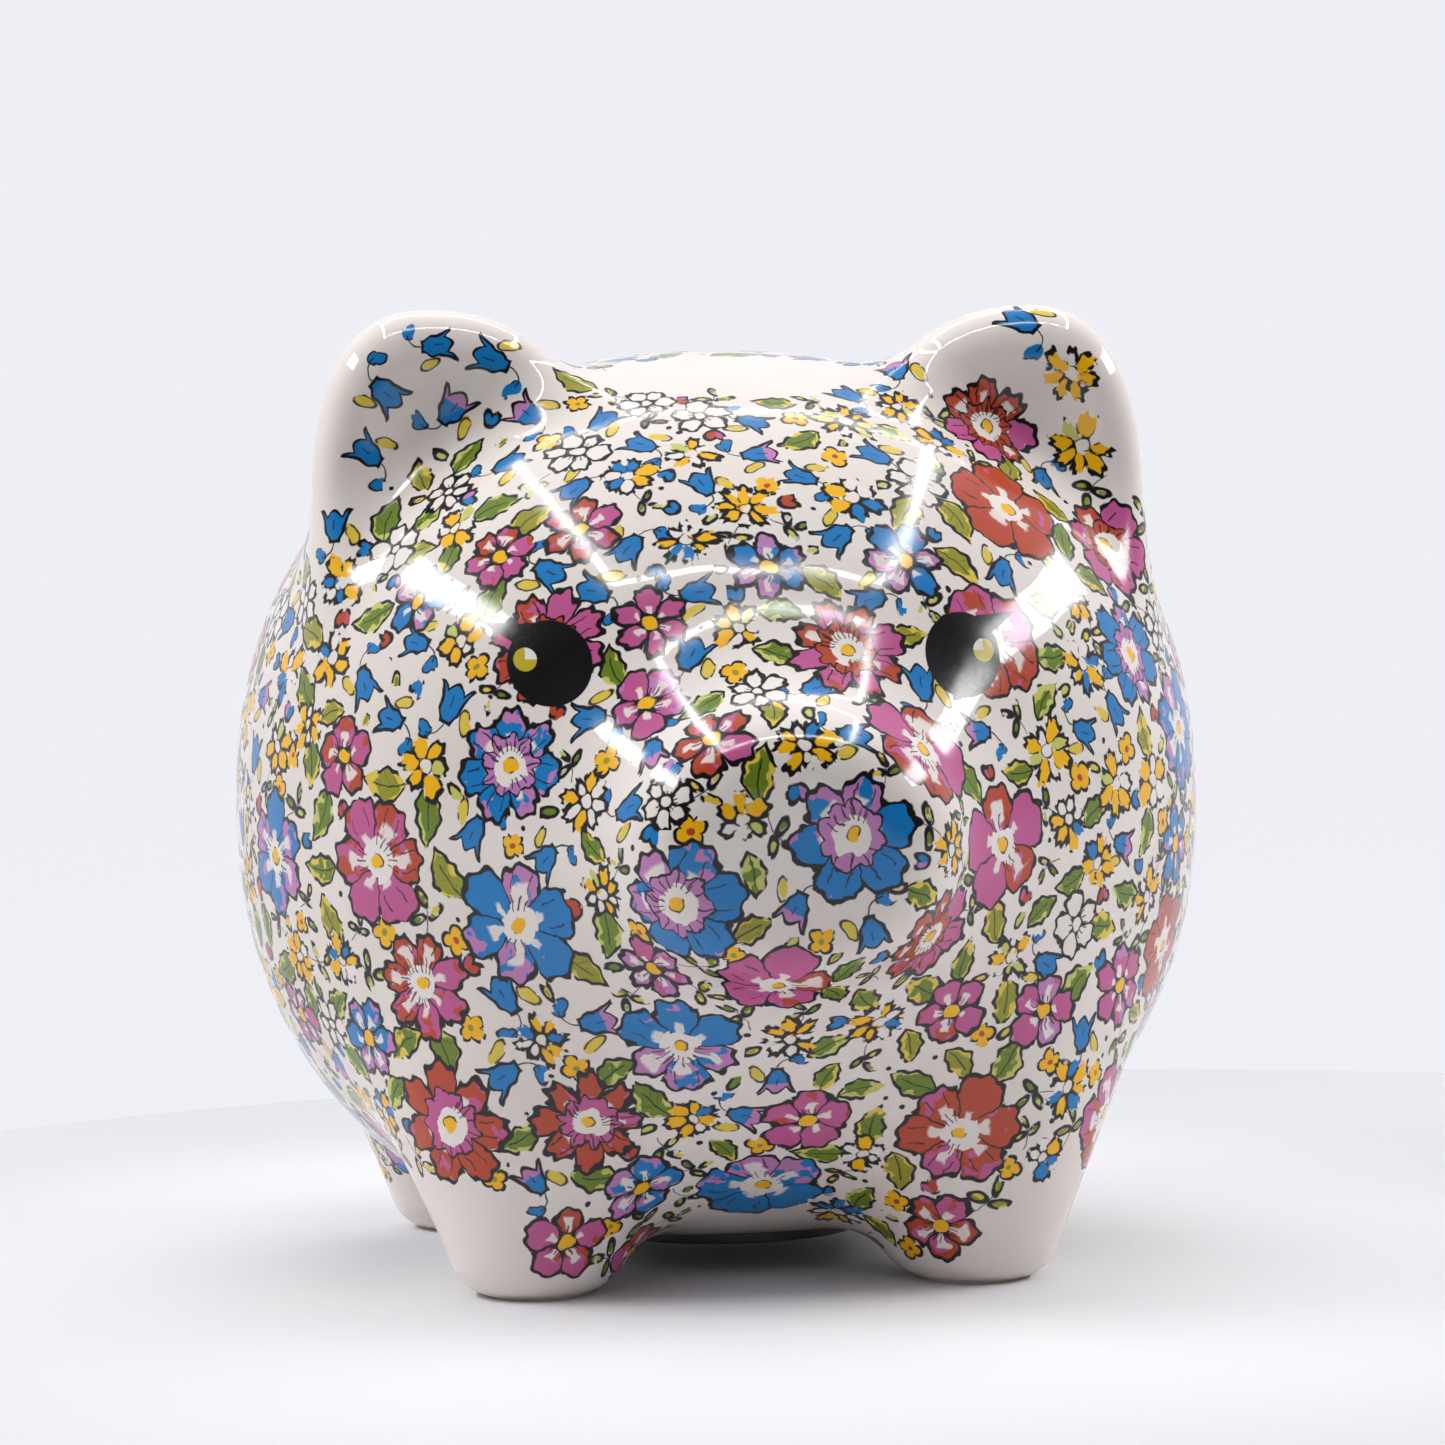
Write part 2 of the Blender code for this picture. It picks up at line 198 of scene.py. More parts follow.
def hollow_distance(points):
    """Distance to the hollow, the coin slot, the emptying hole and its seat."""
    room = trunk_distance(points, WALL, CAVITY_FLOOR_Z)
    room = soft_min(room, snout_distance(points) + WALL, SNOUT_BLEND)
    from_axis = np.hypot(points[:, 0], points[:, 1])
    seat = np.maximum(from_axis - SEAT_RADIUS, points[:, 2] - SEAT_Z)
    hole = np.maximum(from_axis - HOLE_RADIUS, points[:, 2] - CAVITY_FLOOR_Z - HOLE_OVERCUT)
    straight = SLOT_HALF_LENGTH - SLOT_HALF_WIDTH
    past_straight = np.maximum(np.abs(points[:, 1] - SLOT_Y) - straight, 0.0)
    slot = np.hypot(points[:, 0], past_straight) - SLOT_HALF_WIDTH
    slot = np.maximum(slot, TRUNK_CENTRE[2] + TRUNK_RADII[2] - SLOT_CUT_DEPTH - points[:, 2])
    return soft_min(soft_min(room, np.minimum(seat, hole), GLAZED_EDGE), slot, GLAZED_EDGE)


def ceramic_distance(points):
    """Distance to the fired clay itself, with edges softened by the glaze."""
    return soft_max(skin_distance(points), -hollow_distance(points), GLAZED_EDGE)


PROBE = 0.01
LEAST_SQUARED_SLOPE = 0.1
PULL_ROUNDS = 3
SETTLE_ROUNDS = 4
# Room left round a shape, and a shift that keeps the lattice off its flat faces, in cells.
GRID_MARGIN = 2.0
GRID_SHIFT = 0.37


def gradient(points, distance):
    """Direction in which a distance grows fastest, and how fast."""
    slope = np.empty_like(points)
    for axis, shift in enumerate(np.eye(3) * PROBE):
        slope[:, axis] = (distance(points + shift) - distance(points - shift)) / (2.0 * PROBE)
    return slope


def pulled_to_surface(points, distance, cell):
    """Move points along the gradient until they lie on the surface."""
    for _ in range(PULL_ROUNDS):
        slope = gradient(points, distance)
        squared_slope = np.maximum((slope ** 2).sum(axis=1), LEAST_SQUARED_SLOPE)
        step = (distance(points) / squared_slope)[:, None]
        points = points - np.clip(slope * step, -0.5 * cell, 0.5 * cell)
    return points


def surface_net(distance, low, high, cell):
    """Quads that wrap the zero surface of a distance, one vertex per crossed cell."""
    counts = np.ceil((high - low) / cell).astype(int) + 1
    lines = [low[axis] + cell * np.arange(counts[axis]) for axis in range(3)]
    lattice = np.stack(np.meshgrid(*lines, indexing="ij"), axis=-1)
    value = distance(lattice.reshape(-1, 3)).reshape(counts)
    cells = counts - 1
    total = np.zeros((*cells, 3))
    hits = np.zeros(cells)
    for axis in range(3):
        first, second = [other for other in range(3) if other != axis]
        for shift_first in (0, 1):
            for shift_second in (0, 1):
                start = [slice(0, count) for count in cells]
                start[first] = slice(shift_first, shift_first + cells[first])
                start[second] = slice(shift_second, shift_second + cells[second])
                end = list(start)
                end[axis] = slice(1, 1 + cells[axis])
                near, far = value[tuple(start)], value[tuple(end)]
                crossed = (near < 0.0) != (far < 0.0)
                place = np.zeros((*cells, 3))
                place[..., first] = shift_first
                place[..., second] = shift_second
                place[crossed, axis] = near[crossed] / (near[crossed] - far[crossed])
                total[crossed] += place[crossed]
                hits[crossed] += 1
    used = hits > 0
    number = np.full(cells, -1)
    number[used] = np.arange(used.sum())
    corner = np.argwhere(used)
    points = low + cell * (corner + total[used] / hits[used][:, None])
    faces = []
    inside = value < 0.0
    for axis in range(3):
        first, second = (axis + 1) % 3, (axis + 2) % 3
        low_end = [slice(0, count) for count in counts]
        high_end = list(low_end)
        low_end[axis] = slice(0, counts[axis] - 1)
        high_end[axis] = slice(1, counts[axis])
        changed = np.argwhere(inside[tuple(low_end)] != inside[tuple(high_end)])
        leaving = inside[tuple(changed.T)]
        ring = []
        for shift_first, shift_second in ((-1, -1), (0, -1), (0, 0), (-1, 0)):
            touching = changed.copy()
            touching[:, first] += shift_first
            touching[:, second] += shift_second
            ring.append(number[tuple(touching.T)])
        quads = np.stack(ring, axis=1)
        quads[~leaving] = quads[~leaving][:, ::-1]
        faces.append(quads)
    return points, np.concatenate(faces)


def settled(points, faces, distance, cell):
    """Even out the mesh while its vertices stay on the surface."""
    pairs = np.concatenate([faces[:, (side, (side + 1) % 4)] for side in range(4)])
    count = np.bincount(pairs[:, 0], minlength=len(points))[:, None]
    for _ in range(SETTLE_ROUNDS):
        total = np.zeros_like(points)
        for axis in range(3):
            total[:, axis] = np.bincount(pairs[:, 0], points[pairs[:, 1], axis], len(points))
        points = pulled_to_surface(0.5 * (points + total / count), distance, cell)
    return points


def mesh_object(name, points, faces):
    """Mesh object from design points in millimetres and quads."""
    mesh = bpy.data.meshes.new(name)
    mesh.from_pydata((points * MM).tolist(), [], faces.tolist())
    mesh.update()
    obj = bpy.data.objects.new(name, mesh)
    bpy.context.scene.collection.objects.link(obj)
    return obj


def wrapped(name, distance, low, high, cell):
    """Closed mesh around a distance's zero surface, with exact normals."""
    low = np.array(low) - GRID_MARGIN * cell + GRID_SHIFT * cell
    high = np.array(high) + GRID_MARGIN * cell
    points, faces = surface_net(distance, low, high, cell)
    points = settled(points, faces, distance, cell)
    points[:, 2] = np.maximum(points[:, 2], 0.0)
    obj = mesh_object(name, points, faces)
    obj.data.shade_smooth()
    slope = gradient(points, distance)
    slope /= np.linalg.norm(slope, axis=1, keepdims=True)
    obj.data.normals_split_custom_set_from_vertices(slope.tolist())
    return obj, points, faces, slope


# ---------------------------------------------------------------- stopper and tab
FLANGE_RADIUS = 17.0
FLANGE_Z = (3.2, 5.7)
FLANGE_ROUND = 1.0
CUP_RADIUS = 12.9
RIB_HEIGHTS = (7.6, 10.0)
RIB_RISE = 0.7
RIB_SPREAD = 0.5
CUP_TOP_Z = 12.8
CUP_INNER_RADIUS = 10.7
CUP_FLOOR_Z = 6.3
CUP_ROOT = 1.0
CUP_ROUND = 0.8
CUP_BLEND = 0.6
CUP_INNER_ROUND = 1.2
POCKET_HALF_WIDTH = 5.3
POCKET_Y = (-7.5, 10.0)
POCKET_TOP_Z = 4.7
POCKET_ROUND = 0.5
HINGE = (-6.0, 3.8)
PIN_RADIUS = 0.45
PIN_OFFSET = 0.42
PIN_HALF_LENGTH = 0.4
TAB_HALF_WIDTH = 5.0
TAB_END_Y = 6.2
TAB_HALF_THICKNESS = 0.6
TAB_CORNER = 3.5
TAB_ROUND = 0.35
GRIP_START_Y = 0.4
GRIP_SIDE_MARGIN = 1.0
GRIP_END_MARGIN = 0.9
GRIP_FADE = 0.5
GROOVE_DEPTH = 0.2
GROOVE_PITCH = 1.25
PLUG_CELL = 0.5
TAB_CELL = 0.25


def plug_distance(points):
    """Distance to the moulded stopper: flange, ribbed cup, thumb pocket and tab pins."""
    x, y, z = points.T
    radius = np.hypot(x, y)
    flange_thickness = FLANGE_Z[1] - FLANGE_Z[0]
    flange_side = np.abs(z - 0.5 * sum(FLANGE_Z)) - 0.5 * flange_thickness
    flange = soft_max(radius - FLANGE_RADIUS, flange_side, FLANGE_ROUND)
    ribs = sum(RIB_RISE * np.exp(-((z - height) / RIB_SPREAD) ** 2) for height in RIB_HEIGHTS)
    cup_ends = np.maximum(z - CUP_TOP_Z, FLANGE_Z[0] + CUP_ROOT - z)
    cup = soft_max(radius - CUP_RADIUS - ribs, cup_ends, CUP_ROUND)
    solid = soft_min(flange, cup, CUP_BLEND)
    room = soft_max(radius - CUP_INNER_RADIUS, CUP_FLOOR_Z - z, CUP_INNER_ROUND)
    thumb = POCKET_Y[1] - POCKET_HALF_WIDTH
    outline = np.where(y > thumb, np.hypot(x, y - thumb) - POCKET_HALF_WIDTH,
                       np.maximum(np.abs(x) - POCKET_HALF_WIDTH, POCKET_Y[0] - y))
    pocket = np.maximum(outline, z - POCKET_TOP_Z)
    solid = soft_max(solid, -np.minimum(room, pocket), POCKET_ROUND)
    pin_ends = np.abs(np.abs(x) - TAB_HALF_WIDTH - PIN_OFFSET) - PIN_HALF_LENGTH
    pins = np.maximum(np.hypot(y - HINGE[0], z - HINGE[1]) - PIN_RADIUS, pin_ends)
    return np.minimum(solid, pins)


def tab_distance(points):
    """Distance to the finger tab, grooved for grip and round about its hinge."""
    x, y, z = points.T
    end = TAB_END_Y - TAB_CORNER
    past_side = np.maximum(np.abs(x) - TAB_HALF_WIDTH + TAB_CORNER, 0.0)
    corner = np.hypot(past_side, np.maximum(y - end, 0.0)) - TAB_CORNER
    plan = np.where(y > end, corner, np.abs(x) - TAB_HALF_WIDTH)
    past_end = np.maximum(np.maximum(HINGE[0] - y, y - TAB_END_Y + TAB_HALF_THICKNESS), 0.0)
    section = np.hypot(past_end, z - HINGE[1]) - TAB_HALF_THICKNESS
    grip = 1.0
    for inward in (y - GRIP_START_Y, TAB_HALF_WIDTH - GRIP_SIDE_MARGIN - np.abs(x),
                   TAB_END_Y - GRIP_END_MARGIN - y):
        grip = grip * np.clip(inward / GRIP_FADE, 0.0, 1.0)
    groove = GROOVE_DEPTH * grip * (0.5 - 0.5 * np.cos(2.0 * math.pi * y / GROOVE_PITCH))
    return soft_max(plan, section + groove, TAB_ROUND)


# ---------------------------------------------------------------- floral transfer print
PRINT_SEED = 23
HEM_Z = 4.5
# The hem climbs on the outer side of the front and the rear legs. Below that, the start and the length
# of the climb across x and of the change from front to rear along y.
HEM_RISES = (12.0, 4.0)
HEM_RISE_X = (21.0, 14.0)
HEM_REAR_Y = (-10.0, 20.0)
UNDERSIDE_TILT = -0.86
UNDERSIDE_TOP_Z = 30.0
SLOT_MARGIN = (5.0, 20.0)
SLOT_ZONE_Z = 90.0
EAR_RIM_TILT = 0.82
BARE_BAND_CENTRE = np.array((0.0, -18.0, 104.0))
BARE_BAND_RADII = np.array((21.0, 10.0, 12.0))
# Each eye's x and z. The decals aren't set evenly.
EYE_PLACES = ((-25.1, 74.1), (21.6, 74.2))
EYE_Y = -50.0
EYE_RADIUS = 5.1
EYE_STRETCH = (1.10, 1.05)
FACE_Y = -30.0
FLICK_START = (2.9, 3.3)
FLICK_END = (7.6, 5.0)
FLICK_RADIUS = 1.45
FLICK_TAPER = 1.35
GLINT_PLACE = (2.9, 0.5)
GLINT_RADIUS = 1.40


def srgb(red, green, blue):
    """Linear colour from 0 to 255 screen values."""
    return [((channel / 255.0) / 12.92 if channel < 11 else ((channel / 255.0 + 0.055) / 1.055) ** 2.4)
            for channel in (red, green, blue)] + [1.0]


GROUND = srgb(232, 223, 217)
GROUND_SHADE = srgb(227, 217, 210)
BISQUE = srgb(222, 208, 190)
BISQUE_ROUGHNESS = 0.55
GLAZE_SMOOTHING = 0.51
STOPPER_SHADE = (0.050, 0.048, 0.050, 1.0)
TAB_SHADE = (0.060, 0.057, 0.058, 1.0)
INK = srgb(15, 12, 17)
PINK = srgb(188, 84, 140)
RUST = srgb(180, 66, 38)
BLUE = srgb(8, 118, 186)
YELLOW = srgb(240, 180, 8)
PALE_YELLOW = srgb(220, 192, 72)
GREEN = srgb(102, 126, 24)
PALE_GREEN = srgb(196, 196, 104)
OLIVE = srgb(146, 144, 34)
LILAC = srgb(186, 122, 178)
EYE_BLACK = srgb(12, 11, 14)
GLINT_YELLOW = srgb(186, 168, 36)


class Print:
    """One layer of the print: its motifs, and how clear of them each point of the skin is."""

    def __init__(self, points, skin_normals):
        self.points = points
        self.skin_normals = skin_normals
        self.clearance = np.full(len(points), 200.0)
        self.centres = []
        self.motifs = []

    def block(self, place, radius):
        """Keep later motifs off a circle."""
        away = np.linalg.norm(self.points - place, axis=1) - radius
        self.clearance = np.minimum(self.clearance, away)

    def add(self, place, radius, *looks):
        """Lay one motif and keep later ones off it."""
        self.block(place, radius)
        self.centres.append(place)
        self.motifs.append((radius, *looks))


def printable(points, normals):
    """True on the outer skin where the transfer is laid: not on feet, belly or edges."""
    on_skin = np.abs(skin_distance(points)) < 0.05
    height = points[:, 2]
    facing_down = (normals[:, 2] < UNDERSIDE_TILT) & (height < UNDERSIDE_TOP_Z)
    outside = np.clip((np.abs(points[:, 0]) - HEM_RISE_X[0]) / HEM_RISE_X[1], 0.0, 1.0)
    rear = np.clip((points[:, 1] - HEM_REAR_Y[0]) / HEM_REAR_Y[1], 0.0, 1.0)
    hem = HEM_Z + outside * between(HEM_RISES, rear)
    beside_slot = (np.abs(points[:, 0]) < SLOT_MARGIN[0]) & (np.abs(points[:, 1] - SLOT_Y) < SLOT_MARGIN[1])
    near_slot = beside_slot & (height > SLOT_ZONE_Z)
    band = (points - BARE_BAND_CENTRE) / BARE_BAND_RADII
    in_band = (band ** 2).sum(axis=1) < 1.0
    rim = (ear_distance(points) < 0.4) & (height > EAR_CENTRE[2]) & (np.abs(normals[:, 1]) < EAR_RIM_TILT)
    return on_skin & (height > hem) & ~facing_down & ~near_slot & ~in_band & ~rim


SHARE_OFF_BLOOMS = 0.35
HEADING_SPREAD = 0.35


def scatter(layer, obstacles, rng, zone, amount, radius_range, gap, tries, make):
    """Drop up to amount motifs where they fit, each snug against its neighbours."""
    for _ in range(amount):
        radius = rng.uniform(*radius_range)
        room = layer.clearance[zone] > radius + gap
        for other in obstacles:
            room &= other.clearance[zone] > radius * SHARE_OFF_BLOOMS
        spots = zone[room]
        if not len(spots):
            continue
        picks = rng.choice(spots, min(len(spots), tries))
        index = picks[np.argmin(layer.clearance[picks])]
        place = layer.points[index]
        heading = rng.normal(size=3)
        if obstacles and obstacles[0].centres:
            away = place - np.array(obstacles[0].centres)
            nearest = away[np.argmin((away ** 2).sum(axis=1))]
            heading = heading * HEADING_SPREAD + nearest / np.linalg.norm(nearest)
        layer.add(place, radius, layer.skin_normals[index], heading, *make(rng))


ROUND, DOUBLE, LONG, RAGGED, OUTLINE = range(5)
LEAF, TWIG, BELL, HEART, STAR, BUD, DOT = range(7)


def bloom(style, petal_counts, widths, *choices):
    """Maker for one style of flower in one of several colourings."""
    def make(rng):
        petals = float(rng.integers(petal_counts[0], petal_counts[1] + 1))
        traits = (petals, rng.random(), rng.uniform(*widths), float(style))
        return traits, choices[rng.integers(len(choices))]
    return make


def sprig(kind, *choices):
    """Maker for a filler motif of one kind in one of several colourings."""
    def make(rng):
        main, second = choices[rng.integers(len(choices))]
        return (float(kind), rng.random(), rng.random(), 1.0), (main, second, INK)
    return make


def lay_out_print(points, normals):
    """Flowers in one layer, leaves, bells and hearts in a second one below it."""
    rng = np.random.default_rng(PRINT_SEED)
    everywhere = np.flatnonzero(printable(points, normals))
    ears = ear_distance(points) < 1.0
    off_ears = everywhere[~ears[everywhere]]
    off_cups = everywhere[~(ears & (normals[:, 1] < 0.0))[everywhere]]
    blooms, sprigs, eyes = (Print(points, normals) for _ in range(3))
    for x, z in EYE_PLACES:
        eyes.block(np.array((x, EYE_Y, z)), EYE_RADIUS + 0.3)

    pink, blue, rust = (PINK, RUST, YELLOW), (BLUE, LILAC, YELLOW), (RUST, PINK, YELLOW)
    large = (pink, blue, rust, pink, blue)
    medium = (pink, (PINK, LILAC, YELLOW), pink, blue)
    yellow = ((YELLOW, BLUE, OLIVE), (YELLOW, PALE_GREEN, OLIVE))
    blues = ((BLUE, LILAC), (BLUE, BLUE))
    greens = ((GREEN, PALE_GREEN), (GREEN, PALE_YELLOW), (OLIVE, PALE_YELLOW), (GREEN, PALE_GREEN))
    # Zone, amount, radii, gap, tries for a snug place, maker. Large motifs come first.
    for course in ((off_ears, 36, (6.5, 7.8), 0.1, 2, bloom(ROUND, (5, 7), (1.0, 1.15), *large)),
                   (off_ears, 26, (6.3, 7.6), 0.1, 8, bloom(DOUBLE, (6, 8), (1.0, 1.1), *large)),
                   (off_ears, 64, (4.4, 5.4), 0.2, 5, bloom(LONG, (5, 6), (0.86, 1.0), *medium)),
                   (everywhere, 120, (3.4, 4.6), 0.2, 8, bloom(RAGGED, (6, 8), (0.85, 1.15), *yellow)),
                   (off_ears, 44, (3.2, 4.2), 0.2, 12, bloom(OUTLINE, (5, 6), (0.85, 1.0), (GROUND,) * 3))):
        scatter(blooms, [], rng, *course)
    for course in ((everywhere, 170, (3.3, 4.0), 0.1, 3, sprig(BELL, *blues)),
                   (off_cups, 230, (2.2, 3.1), 0.1, 16, sprig(LEAF, *greens)),
                   (everywhere, 24, (2.4, 3.0), 1.6, 2, sprig(TWIG, *greens)),
                   (off_cups, 380, (2.0, 2.8), 0.1, 16, sprig(TWIG, *greens)),
                   (off_cups, 130, (1.5, 1.9), 0.1, 16, sprig(STAR, (YELLOW, RUST), (YELLOW, OLIVE))),
                   (off_cups, 170, (1.2, 1.6), 0.1, 16, sprig(HEART, (RUST, PINK), *blues)),
                   (off_cups, 520, (1.0, 1.5), 0.1, 16, sprig(BUD, *greens)),
                   (off_cups, 160, (0.6, 0.8), 0.2, 12, sprig(DOT, (INK, INK)))):
        scatter(sprigs, [blooms, eyes], rng, *course)
    return blooms, sprigs


OWN_REACH = 1.35
LARGEST_STRETCH = 1.4
BLOOM_OVERDRAW = 1.04
SPRIG_OVERDRAW = 1.14
OFF_PRINT = (90.0, 90.0, 1.0)


def bind_print(shell, points, faces, normals, layer, prefix, overdraw):
    """Store each motif's own flat coordinates and traits on the faces around it."""
    radii, upright, start, traits, colours = zip(*layer.motifs)
    centres, radii, upright, start = map(np.array, (layer.centres, radii, upright, start))
    start -= (start * upright).sum(axis=1, keepdims=True) * upright
    start /= np.linalg.norm(start, axis=1, keepdims=True)
    across = np.cross(upright, start)

    middles = points[faces].mean(axis=1)
    facing = normals[faces].mean(axis=1)
    best = np.full(len(faces), OWN_REACH)
    owner = np.full(len(faces), -1)
    for index in range(len(centres)):
        score = np.linalg.norm(middles - centres[index], axis=1) / radii[index]
        closer = (score < best) & (facing @ upright[index] > 0.1)
        best[closer] = score[closer]
        owner[closer] = index

    corner_owner = np.repeat(owner, 4)
    offset = points[faces.ravel()] - centres[corner_owner]
    along = (offset * start[corner_owner]).sum(axis=1)
    beside = (offset * across[corner_owner]).sum(axis=1)
    flat = np.maximum(np.hypot(along, beside), 1e-6)
    stretch = np.clip(np.linalg.norm(offset, axis=1) / flat, 1.0, LARGEST_STRETCH)
    local = np.column_stack((along * stretch, beside * stretch, radii[corner_owner] * overdraw))
    local[corner_owner < 0] = OFF_PRINT
    attribute = shell.data.attributes.new(prefix + "_place", "FLOAT_VECTOR", "CORNER")
    attribute.data.foreach_set("vector", local.astype(np.float32).ravel())

    def face_colour(name, rows):
        values = np.array(rows, dtype=np.float32)[owner]
        attribute = shell.data.attributes.new(prefix + name, "FLOAT_COLOR", "FACE")
        attribute.data.foreach_set("color", values.ravel())

    face_colour("_traits", traits)
    for part, name in enumerate(("_main", "_second", "_third")):
        face_colour(name, [inks[part] for inks in colours])


# Half the width of the soft edge of a pen line and of a fill, in mm.
PEN_EDGE = 0.07
FILL_EDGE = 0.06


def written_as(operation, swapped=False):
    """Method that builds the math node for one arithmetic sign."""
    def method(self, other):
        values = (other, self) if swapped else (self, other)
        return self.graph.math(operation, *values)
    return method


class Number:
    """A value in the node tree that can be written in ordinary arithmetic."""

    def __init__(self, graph, socket):
        self.graph = graph
        self.socket = socket

    __add__ = written_as("ADD")
    __radd__ = written_as("ADD", swapped=True)
    __sub__ = written_as("SUBTRACT")
    __rsub__ = written_as("SUBTRACT", swapped=True)
    __mul__ = written_as("MULTIPLY")
    __rmul__ = written_as("MULTIPLY", swapped=True)
    __truediv__ = written_as("DIVIDE")
    __rtruediv__ = written_as("DIVIDE", swapped=True)
    __pow__ = written_as("POWER")
    __gt__ = written_as("GREATER_THAN")
    __lt__ = written_as("LESS_THAN")

    def __abs__(self):
        return self.graph.math("ABSOLUTE", self)


class Graph:
    """Short names for the shader nodes of a material or of the world."""

    def __init__(self, owner, shader="Principled BSDF"):
        owner.use_nodes = True
        self.tree = owner.node_tree
        self.shader = self.tree.nodes[shader]

    def link(self, value, socket):
        if isinstance(value, Number):
            value = value.socket
        if isinstance(value, bpy.types.NodeSocket):
            self.tree.links.new(value, socket)
        else:
            socket.default_value = value

    def node(self, kind, *values, **settings):
        """New node with its settings and its first inputs."""
        node = self.tree.nodes.new("ShaderNode" + kind)
        for name, setting in settings.items():
            setattr(node, name, setting)
        for value, socket in zip(values, node.inputs):
            self.link(value, socket)
        return node

    def finish(self, **inputs):
        """Set the shader's inputs, with their names' spaces written as underscores."""
        for name, value in inputs.items():
            self.link(value, self.shader.inputs[name.replace("_", " ")])

    def position(self):
        return self.node("TexCoord").outputs["Object"]

    def math(self, operation, *values):
        return Number(self, self.node("Math", *values, operation=operation).outputs[0])

    def same(self, value, number):
        """1 where a stored code is this whole number."""
        return self.math("COMPARE", value, float(number), 0.1)

    def split(self, vector):
        return [Number(self, output) for output in self.node("SeparateXYZ", vector).outputs]

    def attribute(self, name):
        return self.node("Attribute", attribute_name=name)

    def noise(self, vector, scale, detail):
        """Noise node with this many blobs in a millimetre of the design."""
        node = self.node("TexNoise", vector)
        node.inputs["Scale"].default_value = scale / MM
        node.inputs["Detail"].default_value = detail
        return node

    def grey_noise(self, vector, scale, detail):
        return Number(self, self.noise(vector, scale, detail).outputs["Fac"])

    def random(self, value):
        node = self.node("TexWhiteNoise", noise_dimensions="1D")
        self.link(value, node.inputs["W"])
        return Number(self, node.outputs["Value"])

    def scale(self, value, low, high, at_low, at_high):
        """Straight line from at_low below low to at_high above high."""
        return Number(self, self.node("MapRange", value, low, high, at_low, at_high).outputs[0])

    def relief(self, height, strength, depth):
        """Normal of a surface that the height lifts by up to depth metres."""
        node = self.node("Bump")
        node.inputs["Strength"].default_value = strength
        node.inputs["Distance"].default_value = depth
        self.link(height, node.inputs["Height"])
        return node.outputs["Normal"]


def ramp(value, low, high):
    """0 below low, 1 above high, smooth between."""
    node = value.graph.node("MapRange", value, low, high, interpolation_type="SMOOTHSTEP")
    return Number(value.graph, node.outputs[0])


def blend(mask, under, over):
    """Colour over laid on colour under through a mask."""
    node = mask.graph.node("Mix", mask, data_type="RGBA")
    mask.graph.link(under, node.inputs[6])
    mask.graph.link(over, node.inputs[7])
    return node.outputs[2]


def larger(first, second):
    return first.graph.math("MAXIMUM", first, second)


def smaller(first, second):
    return first.graph.math("MINIMUM", first, second)


def norm(across, up):
    return across.graph.math("SQRT", across * across + up * up)


def stroke(distance, half_width):
    """1 on a pen line around distance 0."""
    return ramp(half_width - abs(distance), -PEN_EDGE, PEN_EDGE)


def filled(gap):
    """1 where the signed gap to an edge is positive."""
    return ramp(gap, -FILL_EDGE, FILL_EDGE)


# How far the drawn lines wander and the fills slip off their outlines, in mm.
SPRIG_WANDER = 0.9
BLOOM_WANDER = 1.6
FILL_SLIP = 0.9
# Half width of the pen line at its thinnest, and by how much it swells, in mm.
SPRIG_PEN = (0.08, 0.30)
BLOOM_PEN = (0.10, 0.29)
LEAF_TEETH = 11.0
PETAL_FRILLS = 19.0


